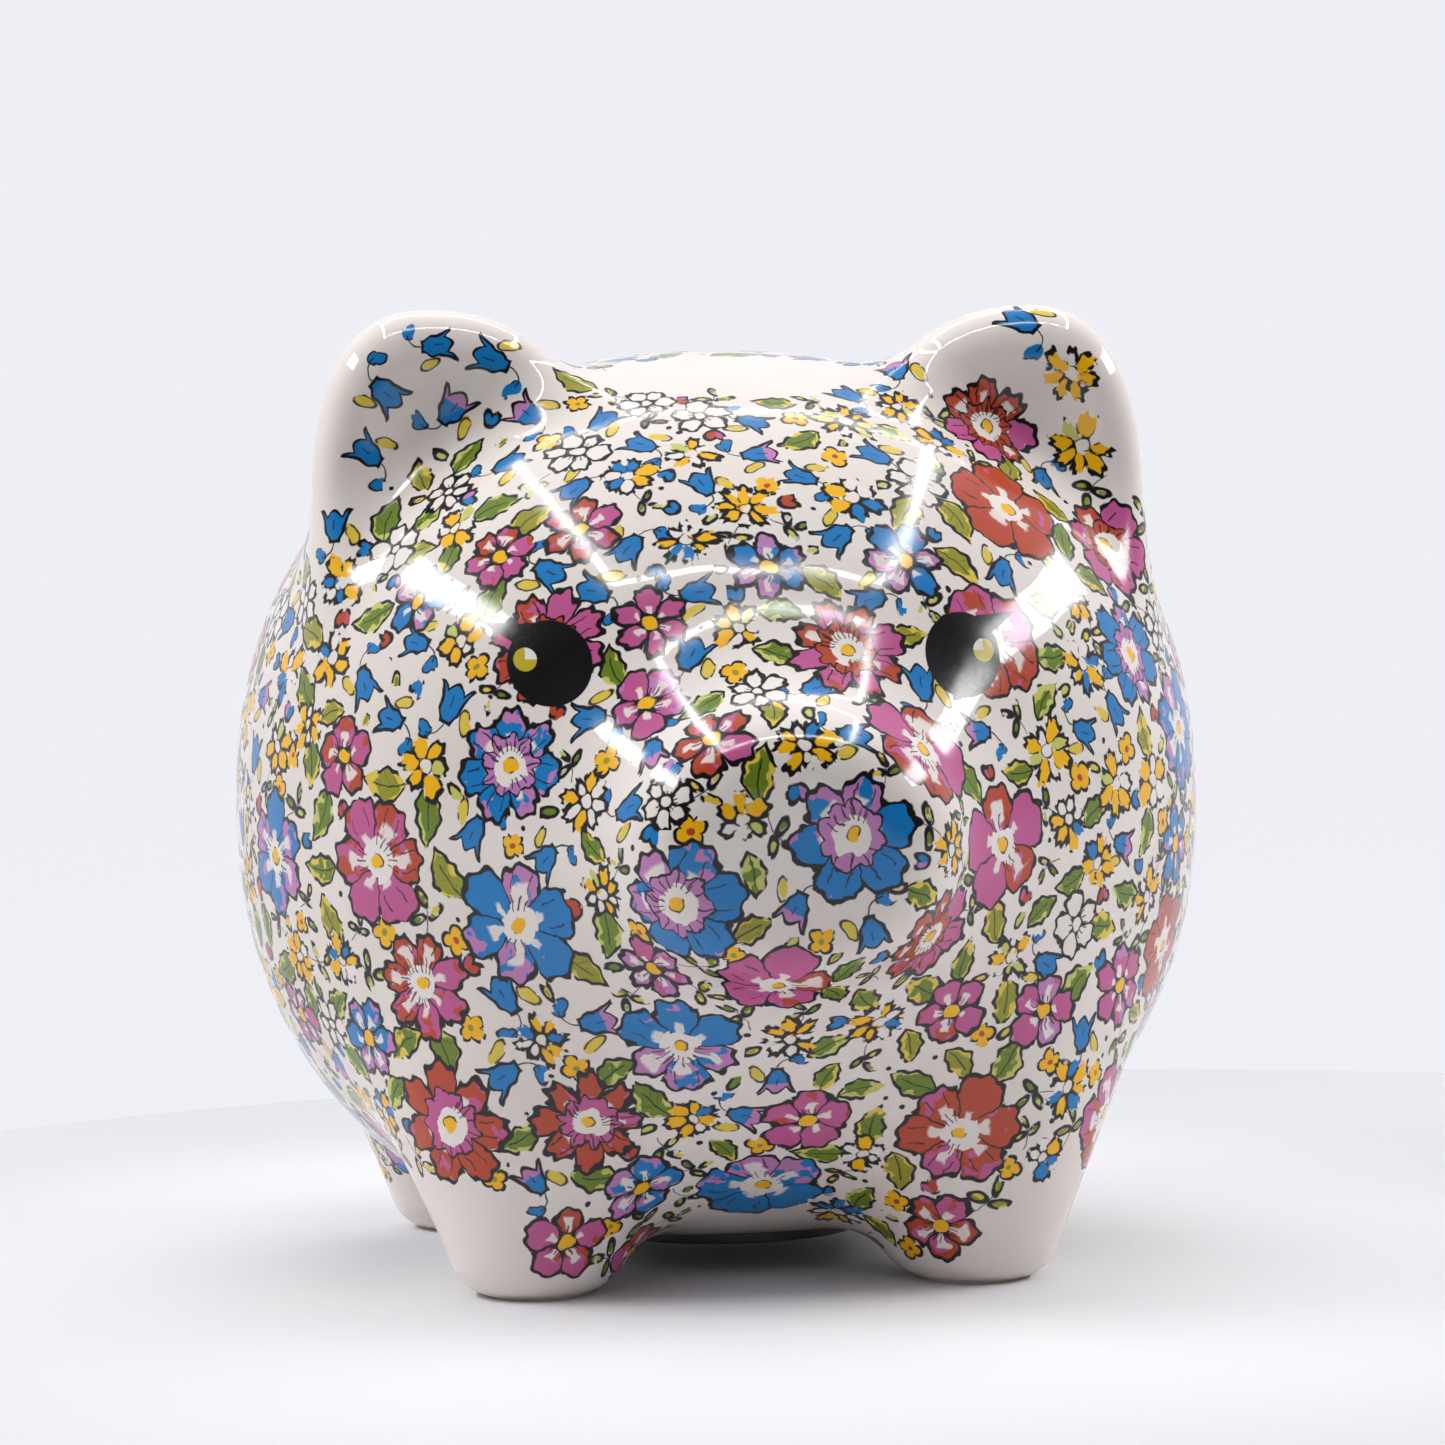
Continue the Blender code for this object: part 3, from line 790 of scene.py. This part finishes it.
def draw_sprigs(graph, wobble, colour):
    """Leaves, twigs, bells, hearts, buds, little flowers and dots, in units of each one's radius."""
    place = graph.split(graph.attribute("sprig_place").outputs["Vector"])
    traits = graph.attribute("sprig_traits")
    kind, seed = graph.split(traits.outputs["Vector"])[:2]
    main = graph.attribute("sprig_main").outputs["Color"]
    second = graph.attribute("sprig_second").outputs["Color"]
    size = place[2]
    x = (place[0] + (wobble[0] - 0.5) * SPRIG_WANDER) / size
    y = (place[1] + (wobble[1] - 0.5) * SPRIG_WANDER) / size
    pen = SPRIG_PEN[0] + SPRIG_PEN[1] * wobble[2]
    gaps = ramp(wobble[0] + wobble[2], 0.84, 0.90)
    shift = (wobble[1] - 0.5) * FILL_SLIP

    def oval(centre_x, centre_y, long_half, wide_half, tilt):
        """Signed gap in mm to a leaflet's edge; long axis turned by tilt."""
        cosine, sine = math.cos(tilt), math.sin(tilt)
        along = ((x - centre_x) * cosine + (y - centre_y) * sine) / long_half
        beside = ((y - centre_y) * cosine - (x - centre_x) * sine) / wide_half
        return (1.0 - norm(along, beside)) * size * wide_half

    # Leaf with a bent midrib, a waved edge and a pale margin.
    bent = y + 0.16 * x * x - 0.08 + (seed - 0.5) * 0.1
    saw = graph.math("SINE", x * LEAF_TEETH + seed * 6.0)
    width = (1.0 - x * x) * (0.52 - 0.16 * x + 0.05 * saw)
    leaf = (width - abs(bent)) * size
    is_leaf = graph.same(kind, LEAF)
    colour = blend(filled(leaf) * is_leaf, colour, second)
    inner = ramp(leaf - 0.42 + (wobble[0] - 0.5) * 4.5, -0.12, 0.12)
    colour = blend(inner * filled(leaf + 0.1) * is_leaf, colour, main)
    rib = stroke(bent * size, 0.08) * filled((0.45 - x) * size) * filled((x + 1.0) * size)
    comb = graph.math("FRACT", (x - abs(bent)) * 2.7 + seed) - 0.5
    vein = stroke(comb * size * 0.5, 0.05) * filled(leaf - 0.45)
    vein = vein * filled(abs(bent) * size - 0.25)
    lines = larger(stroke(leaf, pen) * gaps, rib)
    lines = larger(lines, vein * ramp(wobble[2], 0.5, 0.56)) * is_leaf

    # Twig with three leaflets.
    stalk = y - 0.28 * x * x
    twig = larger(oval(0.62, 0.16, 0.36, 0.17, 0.5), oval(-0.18, 0.42, 0.36, 0.17, 1.9))
    twig = larger(twig, oval(0.10, -0.40, 0.36, 0.18, -0.9))
    is_twig = graph.same(kind, TWIG)
    fill = ramp(twig - 0.12 + shift, -0.06, 0.06) * is_twig
    colour = blend(fill, colour, blend(ramp(wobble[0], 0.48, 0.52), second, main))
    stem = stroke(stalk * size, 0.07) * filled((0.5 - x) * size) * filled((x + 0.95) * size)
    twig_lines = larger(stroke(twig, pen * 0.8) * gaps, stem * (1.0 - filled(twig)))
    lines = larger(lines, twig_lines * is_twig)

    # Bell on a curved stem, a heart at its far end and a bud beside it.
    is_bell = graph.same(kind, BELL)
    flare = 0.15 + 0.16 * ramp(x, -0.25, 0.05) + 0.50 * larger(x - 0.18, 0.0) ** 1.3
    rim = 0.48 + 0.24 * abs(graph.math("SINE", y * 6.0 + 1.57)) - x
    cup = smaller(smaller(flare - abs(y), rim), x + 0.28) * size
    colour = blend(filled(cup + shift * 0.7) * is_bell, colour, main)
    mouth = filled((x - 0.34) * size) * filled(cup) * ramp(seed, 0.5, 0.52)
    colour = blend(mouth * is_bell, colour, second)
    bend = norm(x + 0.28, y - 0.42) - 0.42
    bow = stroke(bend * size, 0.09) * ((x < -0.26) * (y < 0.48))
    drop = larger(oval(-0.58, 0.60, 0.23, 0.15, 1.1), oval(-0.71, 0.48, 0.20, 0.14, 2.3))
    colour = blend(filled(drop + shift * 0.5) * is_bell, colour, main)
    loop = oval(-0.10, -0.58, 0.34, 0.16, 0.4)
    colour = blend(filled(loop + shift) * is_bell, colour, PALE_YELLOW)
    bell_lines = larger(stroke(cup, pen * 0.9), bow)
    bell_lines = larger(bell_lines, stroke(drop, 0.10) * gaps)
    bell_lines = larger(bell_lines, stroke(loop, 0.09) * gaps)
    tick = stroke(y * size, 0.07) * filled((0.42 - x) * size) * filled((x - 0.12) * size)
    bell_lines = larger(bell_lines, tick)
    lines = larger(lines, bell_lines * is_bell)

    # Hearts.
    is_heart = graph.same(kind, HEART)
    heart = larger(oval(0.12, 0.26, 0.66, 0.40, 0.45), oval(0.12, -0.26, 0.66, 0.40, -0.45))
    colour = blend(filled(heart + shift * 0.5) * is_heart, colour, main)
    shade = filled(y * size - 0.2) * filled(heart - 0.1) * ramp(seed, 0.4, 0.42)
    colour = blend(shade * is_heart, colour, second)
    lines = larger(lines, stroke(heart, pen * 0.8) * gaps * is_heart)

    # Loose buds: open loops with a drop of colour.
    is_bud = graph.same(kind, BUD)
    bud = oval(0.0, 0.0, 0.85, 0.42, 0.0) + 0.15 * x
    colour = blend(filled(bud - 0.1 + shift * 1.4) * is_bud, colour, second)
    drop = filled(bud - 0.25 + shift * 1.6) * is_bud * ramp(seed, 0.5, 0.52)
    colour = blend(drop, colour, main)
    lines = larger(lines, stroke(bud, pen * 0.8) * gaps * is_bud)

    # Little flowers, and dots.
    is_star = graph.same(kind, STAR)
    radius = norm(x, y)
    turn = graph.math("ARCTAN2", y, x) * 2.0 + seed * 6.0
    petal = abs(graph.math("COSINE", turn)) ** 0.6
    star = (0.50 + 0.40 * petal - radius) * size
    colour = blend(filled(star + shift * 0.8) * is_star, colour, main)
    colour = blend(filled((0.20 - radius) * size) * is_star, colour, second)
    lines = larger(lines, stroke(star, pen * 0.9) * gaps * is_star)
    lines = larger(lines, filled((0.42 - radius) * size) * graph.same(kind, DOT))
    return blend(lines, colour, INK)


def draw_blooms(graph, wobble, colour):
    """Flowers: oval petals round a heart, an inner ring on some, outlines on all."""
    place = graph.split(graph.attribute("bloom_place").outputs["Vector"])
    traits = graph.attribute("bloom_traits")
    petals, seed, fullness = graph.split(traits.outputs["Vector"])
    style = Number(graph, traits.outputs["Alpha"])
    main = graph.attribute("bloom_main").outputs["Color"]
    second = graph.attribute("bloom_second").outputs["Color"]
    third = graph.attribute("bloom_third").outputs["Color"]
    double = graph.same(style, DOUBLE)
    ragged = graph.same(style, RAGGED)
    outline = graph.same(style, OUTLINE)
    pale_heart = style < LONG - 0.5
    size = place[2]
    x = place[0] + (wobble[0] - 0.5) * BLOOM_WANDER
    y = place[1] + (wobble[1] - 0.5) * BLOOM_WANDER
    radius = norm(x, y)
    reach = radius / size
    turn = graph.math("ARCTAN2", y, x) * petals / (2.0 * math.pi) + seed * petals
    across = graph.math("FRACT", turn) - 0.5
    petal = graph.math("FLOORED_MODULO", graph.math("FLOOR", turn), petals)
    chance = graph.random(petal + seed * 31.7)
    other_chance = graph.random(petal * 1.7 + seed * 57.3 + 9.0)
    pen = BLOOM_PEN[0] + BLOOM_PEN[1] * wobble[2]

    # One petal: an oval from the heart to the rim of its sector, wider outside.
    angle = across * (2.0 * math.pi) / petals
    along = radius * graph.math("COSINE", angle)
    side = radius * graph.math("SINE", angle)
    length = size * (1.0 - 0.16 * chance - 0.28 * other_chance * ragged)
    half_long = length * 0.41
    middle = length - half_long
    sector = graph.math("TANGENT", math.pi / petals)
    half_wide = middle * sector * fullness * (0.72 + 0.42 * reach) * (0.92 + 0.2 * other_chance)
    oval_along = (along - middle) / half_long
    oval_side = side / half_wide
    gap = (1.0 - norm(oval_along, oval_side)) * half_wide
    frill = 0.028 * graph.math("COSINE", across * PETAL_FRILLS + chance * 6.0) * (1.0 + 0.2 * ragged)
    gap = gap + frill * size * ramp(reach, 0.5, 0.8)
    colour = blend(filled(gap), colour, GROUND)

    shift = (wobble[1] - 0.5) * FILL_SLIP
    unfilled = ragged * (other_chance > 0.72)
    painted = filled(gap + shift - 0.05) * (1.0 - outline) * (1.0 - unfilled)
    blotch = ramp(chance + (wobble[0] - 0.5) * 2.2 + (reach - 0.65) * 0.5, 0.62, 0.66)
    blue_petal = chance > 0.80
    blotch = blotch * (1.0 - ragged) + blue_petal * ragged
    paint = blend(blotch, main, second)
    streak = ramp(0.17 - abs(across + (wobble[2] - 0.5) * 0.9) * 0.8, 0.0, 0.05)
    streak = streak * ramp(0.56 - reach + (chance - 0.5) * 0.3, 0.0, 0.06)
    paint = blend(streak * (0.9 - 0.9 * ragged), paint, GROUND)
    colour = blend(painted, colour, paint)

    border = (0.5 - abs(across)) * radius * (2.0 * math.pi) / petals
    lines = stroke(border, 0.11) * filled(gap) * filled((reach - 0.30) * size)
    broken = 1.0 - ragged * ramp(wobble[0], 0.53, 0.56)
    lines = larger(lines, stroke(gap, pen) * broken)
    fold_side = abs(side) - half_wide * 0.42
    fold = stroke(fold_side, 0.08) * filled((reach - 0.52) * size)
    fold = fold * filled((0.78 - reach) * size)
    lines = larger(lines, fold * (other_chance > 0.55) * pale_heart)

    # Ragged inner ring of the double flowers.
    tooth = graph.math("FRACT", turn * 2.0) - 0.5
    ring_edge = 0.50 + 0.05 * graph.math("COSINE", turn * 8.0 + seed) - 0.22 * tooth * tooth
    ring_gap = size * ring_edge - radius + shift * 0.8
    ring = filled(ring_gap) * double
    colour = blend(ring, colour, second)
    lines = lines * (1.0 - ring)
    ring_comb = stroke(tooth * radius * 3.0 / petals, 0.09) * filled((reach - 0.28) * size)
    ring_comb = ring_comb * filled(ring_gap) * (other_chance > 0.4)
    ring_lines = larger(stroke(ring_gap, 0.15), ring_comb)
    lines = larger(lines, ring_lines * double)

    # Heart: a pale star with a small yellow middle, or a round yellow one.
    comb = graph.math("FRACT", turn * 3.0) - 0.5
    rays = stroke(comb * radius * 2.1 / petals, 0.08) * filled((reach - 0.22) * size)
    rays = rays * filled((0.33 + chance * 0.12 - reach) * size) * (chance - ragged > 0.45)
    star = filled((0.24 + 0.10 * other_chance - reach) * size + shift * 1.4)
    colour = blend(star * pale_heart, colour, GROUND)
    lines = lines * (1.0 - star * pale_heart)
    heart_radius = 0.19 - 0.07 * pale_heart
    heart = filled((heart_radius - reach) * size + (wobble[0] - 0.5) * 0.5)
    colour = blend(heart * (1.0 - ragged), colour, blend(outline, third, GROUND))
    lines = larger(lines * (1.0 - heart), rays)
    ring_line = stroke((heart_radius - reach) * size, 0.09) * ramp(wobble[2], 0.44, 0.49)
    lines = larger(lines, ring_line)
    return blend(lines, colour, INK)


def draw_eyes(graph, coordinates, colour):
    """Painted eyes: a disc, a lash flick towards the ear and a catchlight."""
    x, y, z = graph.split(coordinates)
    left = x < 0.0
    centre_x, centre_z = (between((right_place, left_place), left)
                          for left_place, right_place in zip(*EYE_PLACES))
    outward = 1.0 - 2.0 * left
    beside = (x - centre_x) * outward * EYE_STRETCH[0]
    above = (z - centre_z) * EYE_STRETCH[1]
    front = y < FACE_Y
    disc = EYE_RADIUS - norm(beside, above)
    span_x, span_z = FLICK_END[0] - FLICK_START[0], FLICK_END[1] - FLICK_START[1]
    off_x, off_z = beside - FLICK_START[0], above - FLICK_START[1]
    along = (off_x * span_x + off_z * span_z) / (span_x ** 2 + span_z ** 2)
    along = smaller(larger(along, 0.0), 1.0)
    off_flick = norm(off_x - along * span_x, off_z - along * span_z)
    flick = FLICK_RADIUS - along * FLICK_TAPER - off_flick
    black = filled(larger(disc, flick)) * front
    colour = blend(black, colour, EYE_BLACK)
    glint_x, glint_z = beside - GLINT_PLACE[0], above - GLINT_PLACE[1]
    glint = filled(GLINT_RADIUS - norm(glint_x, glint_z)) * front
    spark = filled(glint_z) * filled(0.0 - glint_x)
    return blend(glint, colour, blend(spark, GLINT_YELLOW, GROUND))


def floral_glaze():
    """Clear glaze over the print. Ink shines a little less, and the glaze swells gently."""
    material = bpy.data.materials.new("floral_glaze")
    graph = Graph(material)
    position = graph.position()
    wobble = graph.node("SeparateColor", graph.noise(position, 0.42, 2.0).outputs["Color"]).outputs
    wobble = [Number(graph, channel) for channel in wobble]
    pool = graph.grey_noise(position, 0.035, 2.0)
    colour = blend(ramp(pool, 0.35, 0.65), GROUND, GROUND_SHADE)
    colour = draw_sprigs(graph, wobble, colour)
    colour = draw_blooms(graph, wobble, colour)
    scaled = graph.node("VectorMath", position, operation="SCALE")
    scaled.inputs["Scale"].default_value = 1.0 / MM
    millimetres = scaled.outputs[0]
    colour = draw_eyes(graph, millimetres, colour)
    off_ground = graph.node("VectorMath", colour, GROUND[:3], operation="DISTANCE")
    ink = ramp(Number(graph, off_ground.outputs["Value"]), 0.10, 0.30)
    grain = graph.grey_noise(position, 2.6, 3.0)
    glazed = ramp(graph.split(millimetres)[2], 0.25, 0.7)
    graph.finish(Base_Color=blend(glazed, BISQUE, colour),
                 Roughness=BISQUE_ROUGHNESS - glazed * (GLAZE_SMOOTHING - ink * (0.02 + 0.16 * grain)))
    swell = graph.grey_noise(position, 0.11, 1.0)
    graph.finish(Normal=graph.relief(swell * 0.10, 1.0, MM))
    return material


def soft_rubber(name, shade):
    """Dark moulded rubber with a faint bloom and a fine matte grain."""
    material = bpy.data.materials.new(name)
    graph = Graph(material)
    position = graph.position()
    bloom_mask = ramp(graph.grey_noise(position, 0.22, 4.0), 0.42, 0.72)
    grain = graph.grey_noise(position, 4.0, 2.0)
    dull = [channel * 1.7 for channel in shade[:3]] + [1.0]
    graph.finish(Base_Color=blend(bloom_mask * 0.5, shade, dull),
                 Roughness=0.42 + 0.18 * bloom_mask + 0.08 * grain,
                 Normal=graph.relief(grain, 0.6, 0.03 * MM))
    return material


def fitted(obj, material, body, node):
    """Dress a piece and let it ride its body in place of the plain solid."""
    obj.data.materials.append(material)
    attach(obj, body)
    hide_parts(node)


shell, shell_points, shell_faces, shell_normals = wrapped(
    "glazed_shell", ceramic_distance, np.array(shell_low) / MM, np.array(shell_high) / MM, SHELL_CELL)
blooms, sprigs = lay_out_print(shell_points, shell_normals)
bind_print(shell, shell_points, shell_faces, shell_normals, blooms, "bloom", BLOOM_OVERDRAW)
bind_print(shell, shell_points, shell_faces, shell_normals, sprigs, "sprig", SPRIG_OVERDRAW)
fitted(shell, floral_glaze(), "bank", "ceramic_body")

plug = wrapped("rubber_stopper", plug_distance, (-FLANGE_RADIUS, -FLANGE_RADIUS, FLANGE_Z[0]),
               (FLANGE_RADIUS, FLANGE_RADIUS, CUP_TOP_Z), PLUG_CELL)[0]
fitted(plug, soft_rubber("stopper_rubber", STOPPER_SHADE), "stopper", "stopper_plug")

tab = wrapped("rubber_tab", tab_distance,
              (-TAB_HALF_WIDTH, HINGE[0] - TAB_HALF_THICKNESS, HINGE[1] - TAB_HALF_THICKNESS),
              (TAB_HALF_WIDTH, TAB_END_Y, HINGE[1] + TAB_HALF_THICKNESS), TAB_CELL)[0]
fitted(tab, soft_rubber("tab_rubber", TAB_SHADE), "tab", "pull_tab")

# ---------------------------------------------------------------- camera, in millimetres and radians
CAMERA_DISTANCE = 505.0
CAMERA_HEIGHT = 74.3
CAMERA_TURN = math.radians(-7.0)
CAMERA_PITCH = math.radians(0.92)
CAMERA_PAN = math.radians(0.12)
CAMERA_ROLL = -0.019
SENSOR = 36.0
LENS = 99.654


def build_camera():
    """Camera low in front of the bank and a little to its right, seen through a long lens."""
    data = bpy.data.cameras.new("camera")
    data.sensor_width = SENSOR
    data.lens = LENS
    camera = bpy.data.objects.new("camera", data)
    bpy.context.scene.collection.objects.link(camera)
    x = math.sin(CAMERA_TURN) * CAMERA_DISTANCE
    y = TRUNK_CENTRE[1] - math.cos(CAMERA_TURN) * CAMERA_DISTANCE
    upright = Matrix.Rotation(math.pi / 2 - CAMERA_PITCH, 4, "X")
    heading = Matrix.Rotation(CAMERA_TURN - CAMERA_PAN, 4, "Z")
    roll = Matrix.Rotation(CAMERA_ROLL, 4, "Z")
    place = Matrix.Translation(Vector((x, y, CAMERA_HEIGHT)) * MM)
    camera.matrix_world = place @ heading @ upright @ roll
    bpy.context.scene.camera = camera


build_camera()

# ---------------------------------------------------------------- stage, in metres
TURNTABLE_PLACE = (0.035, 0.0)
TURNTABLE_RADIUS = 0.208
TURNTABLE_SIDES = 128
TURNTABLE_TOP = -0.00005
# Painted light: the turntable's paper is lighter near the bank and fades to the far colour between the near
# and far radii below, which lifts the shadow the bank casts on it.
TURNTABLE_NEAR_PAINTED_LIGHT = (0.78, 0.78, 0.80, 1.0)
TURNTABLE_FAR = (0.585, 0.585, 0.60, 1.0)
TURNTABLE_SHEEN = 0.5
CONTACT_LENGTH = 0.00015
PAINTED_LIGHT_INNER, PAINTED_LIGHT_OUTER = 0.06, 0.16
PAPER_GLOW = (0.93, 0.945, 1.0, 1.0)
SWEEP_SHADE = (0.012, 0.012, 0.012, 1.0)
SWEEP_GLOW = 0.91
SWEEP_DROP = 0.004
SWEEP_HALF_WIDTH = 3.0
SWEEP_FRONT_Y = -3.0
SWEEP_CURVE_Y = 1.4
SWEEP_CURVE_RADIUS = 0.8
SWEEP_CURVE_STEPS = 24
SWEEP_TOP_Z = 3.0


def paper_material(name, near_colour, far_colour, glow, sheen):
    """Matte paper to rays that start above it, fading from near_colour by the bank to far_colour further
    out: painted light that lifts the bank's shadow. Clear from below and at contact, to show the underside.
    """
    material = bpy.data.materials.new(name)
    graph = Graph(material)
    # Painted light: the paper is lighter near the bank to lift its shadow; this noise only dithers the edge
    # of that ramp.
    painted_light_dither = graph.node("TexNoise")
    painted_light_dither.inputs["Scale"].default_value = 900.0
    reach = graph.node("VectorMath", graph.position(), operation="LENGTH").outputs["Value"]
    reach = graph.math("MULTIPLY_ADD", painted_light_dither.outputs["Fac"], 0.004, reach)
    painted_light_tint = blend(ramp(reach, PAINTED_LIGHT_INNER, PAINTED_LIGHT_OUTER), near_colour, far_colour)
    path = graph.node("LightPath").outputs
    # A ray starts at this point plus its own length along the way it came.
    geometry = graph.node("NewGeometry").outputs
    start = graph.node("VectorMath", geometry["Incoming"], path["Ray Length"], geometry["Position"],
                       operation="MULTIPLY_ADD").outputs[0]
    starts_above = graph.split(start)[2] > TURNTABLE_TOP
    graph.finish(Base_Color=painted_light_tint, Roughness=0.85, Specular_IOR_Level=sheen, Emission_Color=PAPER_GLOW,
                 Emission_Strength=graph.scale(path["Is Diffuse Ray"], 0.0, 1.0, glow, glow * 0.25),
                 Alpha=starts_above * (Number(graph, path["Ray Length"]) > CONTACT_LENGTH))
    return material


def staged_mesh(name, points, faces, material):
    """Piece of the stage, which isn't part of the object."""
    mesh = bpy.data.meshes.new(name)
    mesh.from_pydata(points, [], faces)
    mesh.materials.append(material)
    mesh.shade_smooth()
    obj = bpy.data.objects.new(name, mesh)
    bpy.context.scene.collection.objects.link(obj)


def build_sweep():
    """Seamless paper that curves up behind the turntable."""
    profile = [(SWEEP_FRONT_Y, -SWEEP_DROP)]
    for step in range(SWEEP_CURVE_STEPS + 1):
        turn = 0.5 * math.pi * step / SWEEP_CURVE_STEPS
        profile.append((SWEEP_CURVE_Y + SWEEP_CURVE_RADIUS * math.sin(turn),
                        SWEEP_CURVE_RADIUS * (1.0 - math.cos(turn)) - SWEEP_DROP))
    profile.append((profile[-1][0], SWEEP_TOP_Z))
    points = [(side * SWEEP_HALF_WIDTH, y, z) for y, z in profile for side in (-1, 1)]
    faces = [(2 * row, 2 * row + 1, 2 * row + 3, 2 * row + 2) for row in range(len(profile) - 1)]
    paper = paper_material("sweep_paper", SWEEP_SHADE, SWEEP_SHADE, SWEEP_GLOW, 0.0)
    staged_mesh("sweep", points, faces, paper)


def build_turntable():
    """Thin white round plate under the bank, its paper painted lighter near the bank as painted light that
    lifts the bank's shadow.
    """
    turns = [2.0 * math.pi * step / TURNTABLE_SIDES for step in range(TURNTABLE_SIDES)]
    points = [(TURNTABLE_PLACE[0] + TURNTABLE_RADIUS * math.cos(turn),
               TURNTABLE_PLACE[1] + TURNTABLE_RADIUS * math.sin(turn), TURNTABLE_TOP) for turn in turns]
    paper = paper_material("turntable_white", TURNTABLE_NEAR_PAINTED_LIGHT, TURNTABLE_FAR, 0.0, TURNTABLE_SHEEN)
    staged_mesh("turntable", points, [tuple(range(TURNTABLE_SIDES))], paper)


build_sweep()
build_turntable()

# ---------------------------------------------------------------- lights, in metres and watts
FRAME_Z = 0.90
FRAME_LEFT, FRAME_RIGHT = -0.35, 0.48
FRAME_FRONT, FRAME_BACK = -0.43, 0.45
LID_POWER = 4.25
LID_SHIFT = 0.12
STRIP_WIDTH = 0.022
STRIP_POWER = 3.0
BACK_STRIP_POWER = 1.2
# Places x and z, height and power of the bars beside the bank.
SIDE_BARS = ((-0.5, 0.48, 0.07, 2.0), (0.5, 0.36, 0.08, 1.5))
SIDE_BAR_Y = -0.02
SIDE_BAR_LENGTH = 0.40
# Place x and power of the soft fills in front of the bank.
LOW_FILLS = ((-0.6, 0.9), (0.6, 0.6))
LOW_FILL_Y, LOW_FILL_Z = -0.12, 0.34
LOW_FILL_AIM = (0.0, -0.02, 0.03)
LOW_FILL_SIZE = (0.50, 0.30)
WORLD_COLOUR = (0.93, 0.95, 1.0, 1.0)
WORLD_POWER = 0.47
LOW_WORLD_POWER = 0.06
SEEN_POWER = 0.91
MIRRORED_FRONT = 0.10


def area_light(name, place, aim, size, power):
    """Rectangular softbox or strip aimed at a point."""
    data = bpy.data.lights.new(name, "AREA")
    data.shape = "RECTANGLE"
    data.size, data.size_y = size
    data.energy = power
    light = bpy.data.objects.new(name, data)
    bpy.context.scene.collection.objects.link(light)
    light.location = place
    direction = Vector(aim) - Vector(place)
    light.rotation_euler = direction.to_track_quat("-Z", "Y").to_euler()
    return light


def build_lights():
    """Light tent: a frame of strips that only mirror, a lid that only fills, bars and low fills."""
    middle_x, middle_y = 0.5 * (FRAME_LEFT + FRAME_RIGHT), 0.5 * (FRAME_FRONT + FRAME_BACK)
    wide, deep = FRAME_RIGHT - FRAME_LEFT, FRAME_BACK - FRAME_FRONT
    lid_y = middle_y + LID_SHIFT
    lid_aim = (middle_x, lid_y + 0.001, 0.0)
    lid = area_light("lid", (middle_x, lid_y, FRAME_Z), lid_aim, (wide, deep), LID_POWER)
    lid.visible_glossy = False
    for name, x, y, size, power in (("front", middle_x, FRAME_FRONT, (wide, STRIP_WIDTH), STRIP_POWER),
                                    ("back", middle_x, FRAME_BACK, (wide, STRIP_WIDTH), BACK_STRIP_POWER),
                                    ("left", FRAME_LEFT, middle_y, (STRIP_WIDTH, deep), STRIP_POWER),
                                    ("right", FRAME_RIGHT, middle_y, (STRIP_WIDTH, deep), STRIP_POWER)):
        strip = area_light("strip_" + name, (x, y, FRAME_Z), (x, y + 0.0001, 0.0), size, power)
        strip.visible_diffuse = False
    for x, z, height, power in SIDE_BARS:
        aim = (0.0, SIDE_BAR_Y, z * 0.2)
        area_light("side_bar", (x, SIDE_BAR_Y, z), aim, (SIDE_BAR_LENGTH, height), power)
    for x, power in LOW_FILLS:
        fill = area_light("low_fill", (x, LOW_FILL_Y, LOW_FILL_Z), LOW_FILL_AIM, LOW_FILL_SIZE, power)
        fill.visible_glossy = False


def build_world():
    """Pale surroundings: full strength to the eye, dark in front of the glaze, weak as fill."""
    world = bpy.data.worlds.new("world")
    bpy.context.scene.world = world
    graph = Graph(world, "Background")
    direction = graph.split(graph.node("TexCoord").outputs["Generated"])
    mirrored = graph.scale(direction[1], -0.5, 0.4, MIRRORED_FRONT, SEEN_POWER)
    fill = graph.scale(direction[2], 0.1, 0.6, LOW_WORLD_POWER, WORLD_POWER)
    path = graph.node("LightPath").outputs
    strength = mirrored + (fill - mirrored) * path["Is Diffuse Ray"]
    strength = strength + (SEEN_POWER - strength) * path["Is Camera Ray"]
    graph.finish(Color=WORLD_COLOUR, Strength=strength)


build_lights()
build_world()
bpy.context.scene.view_settings.view_transform = "Standard"
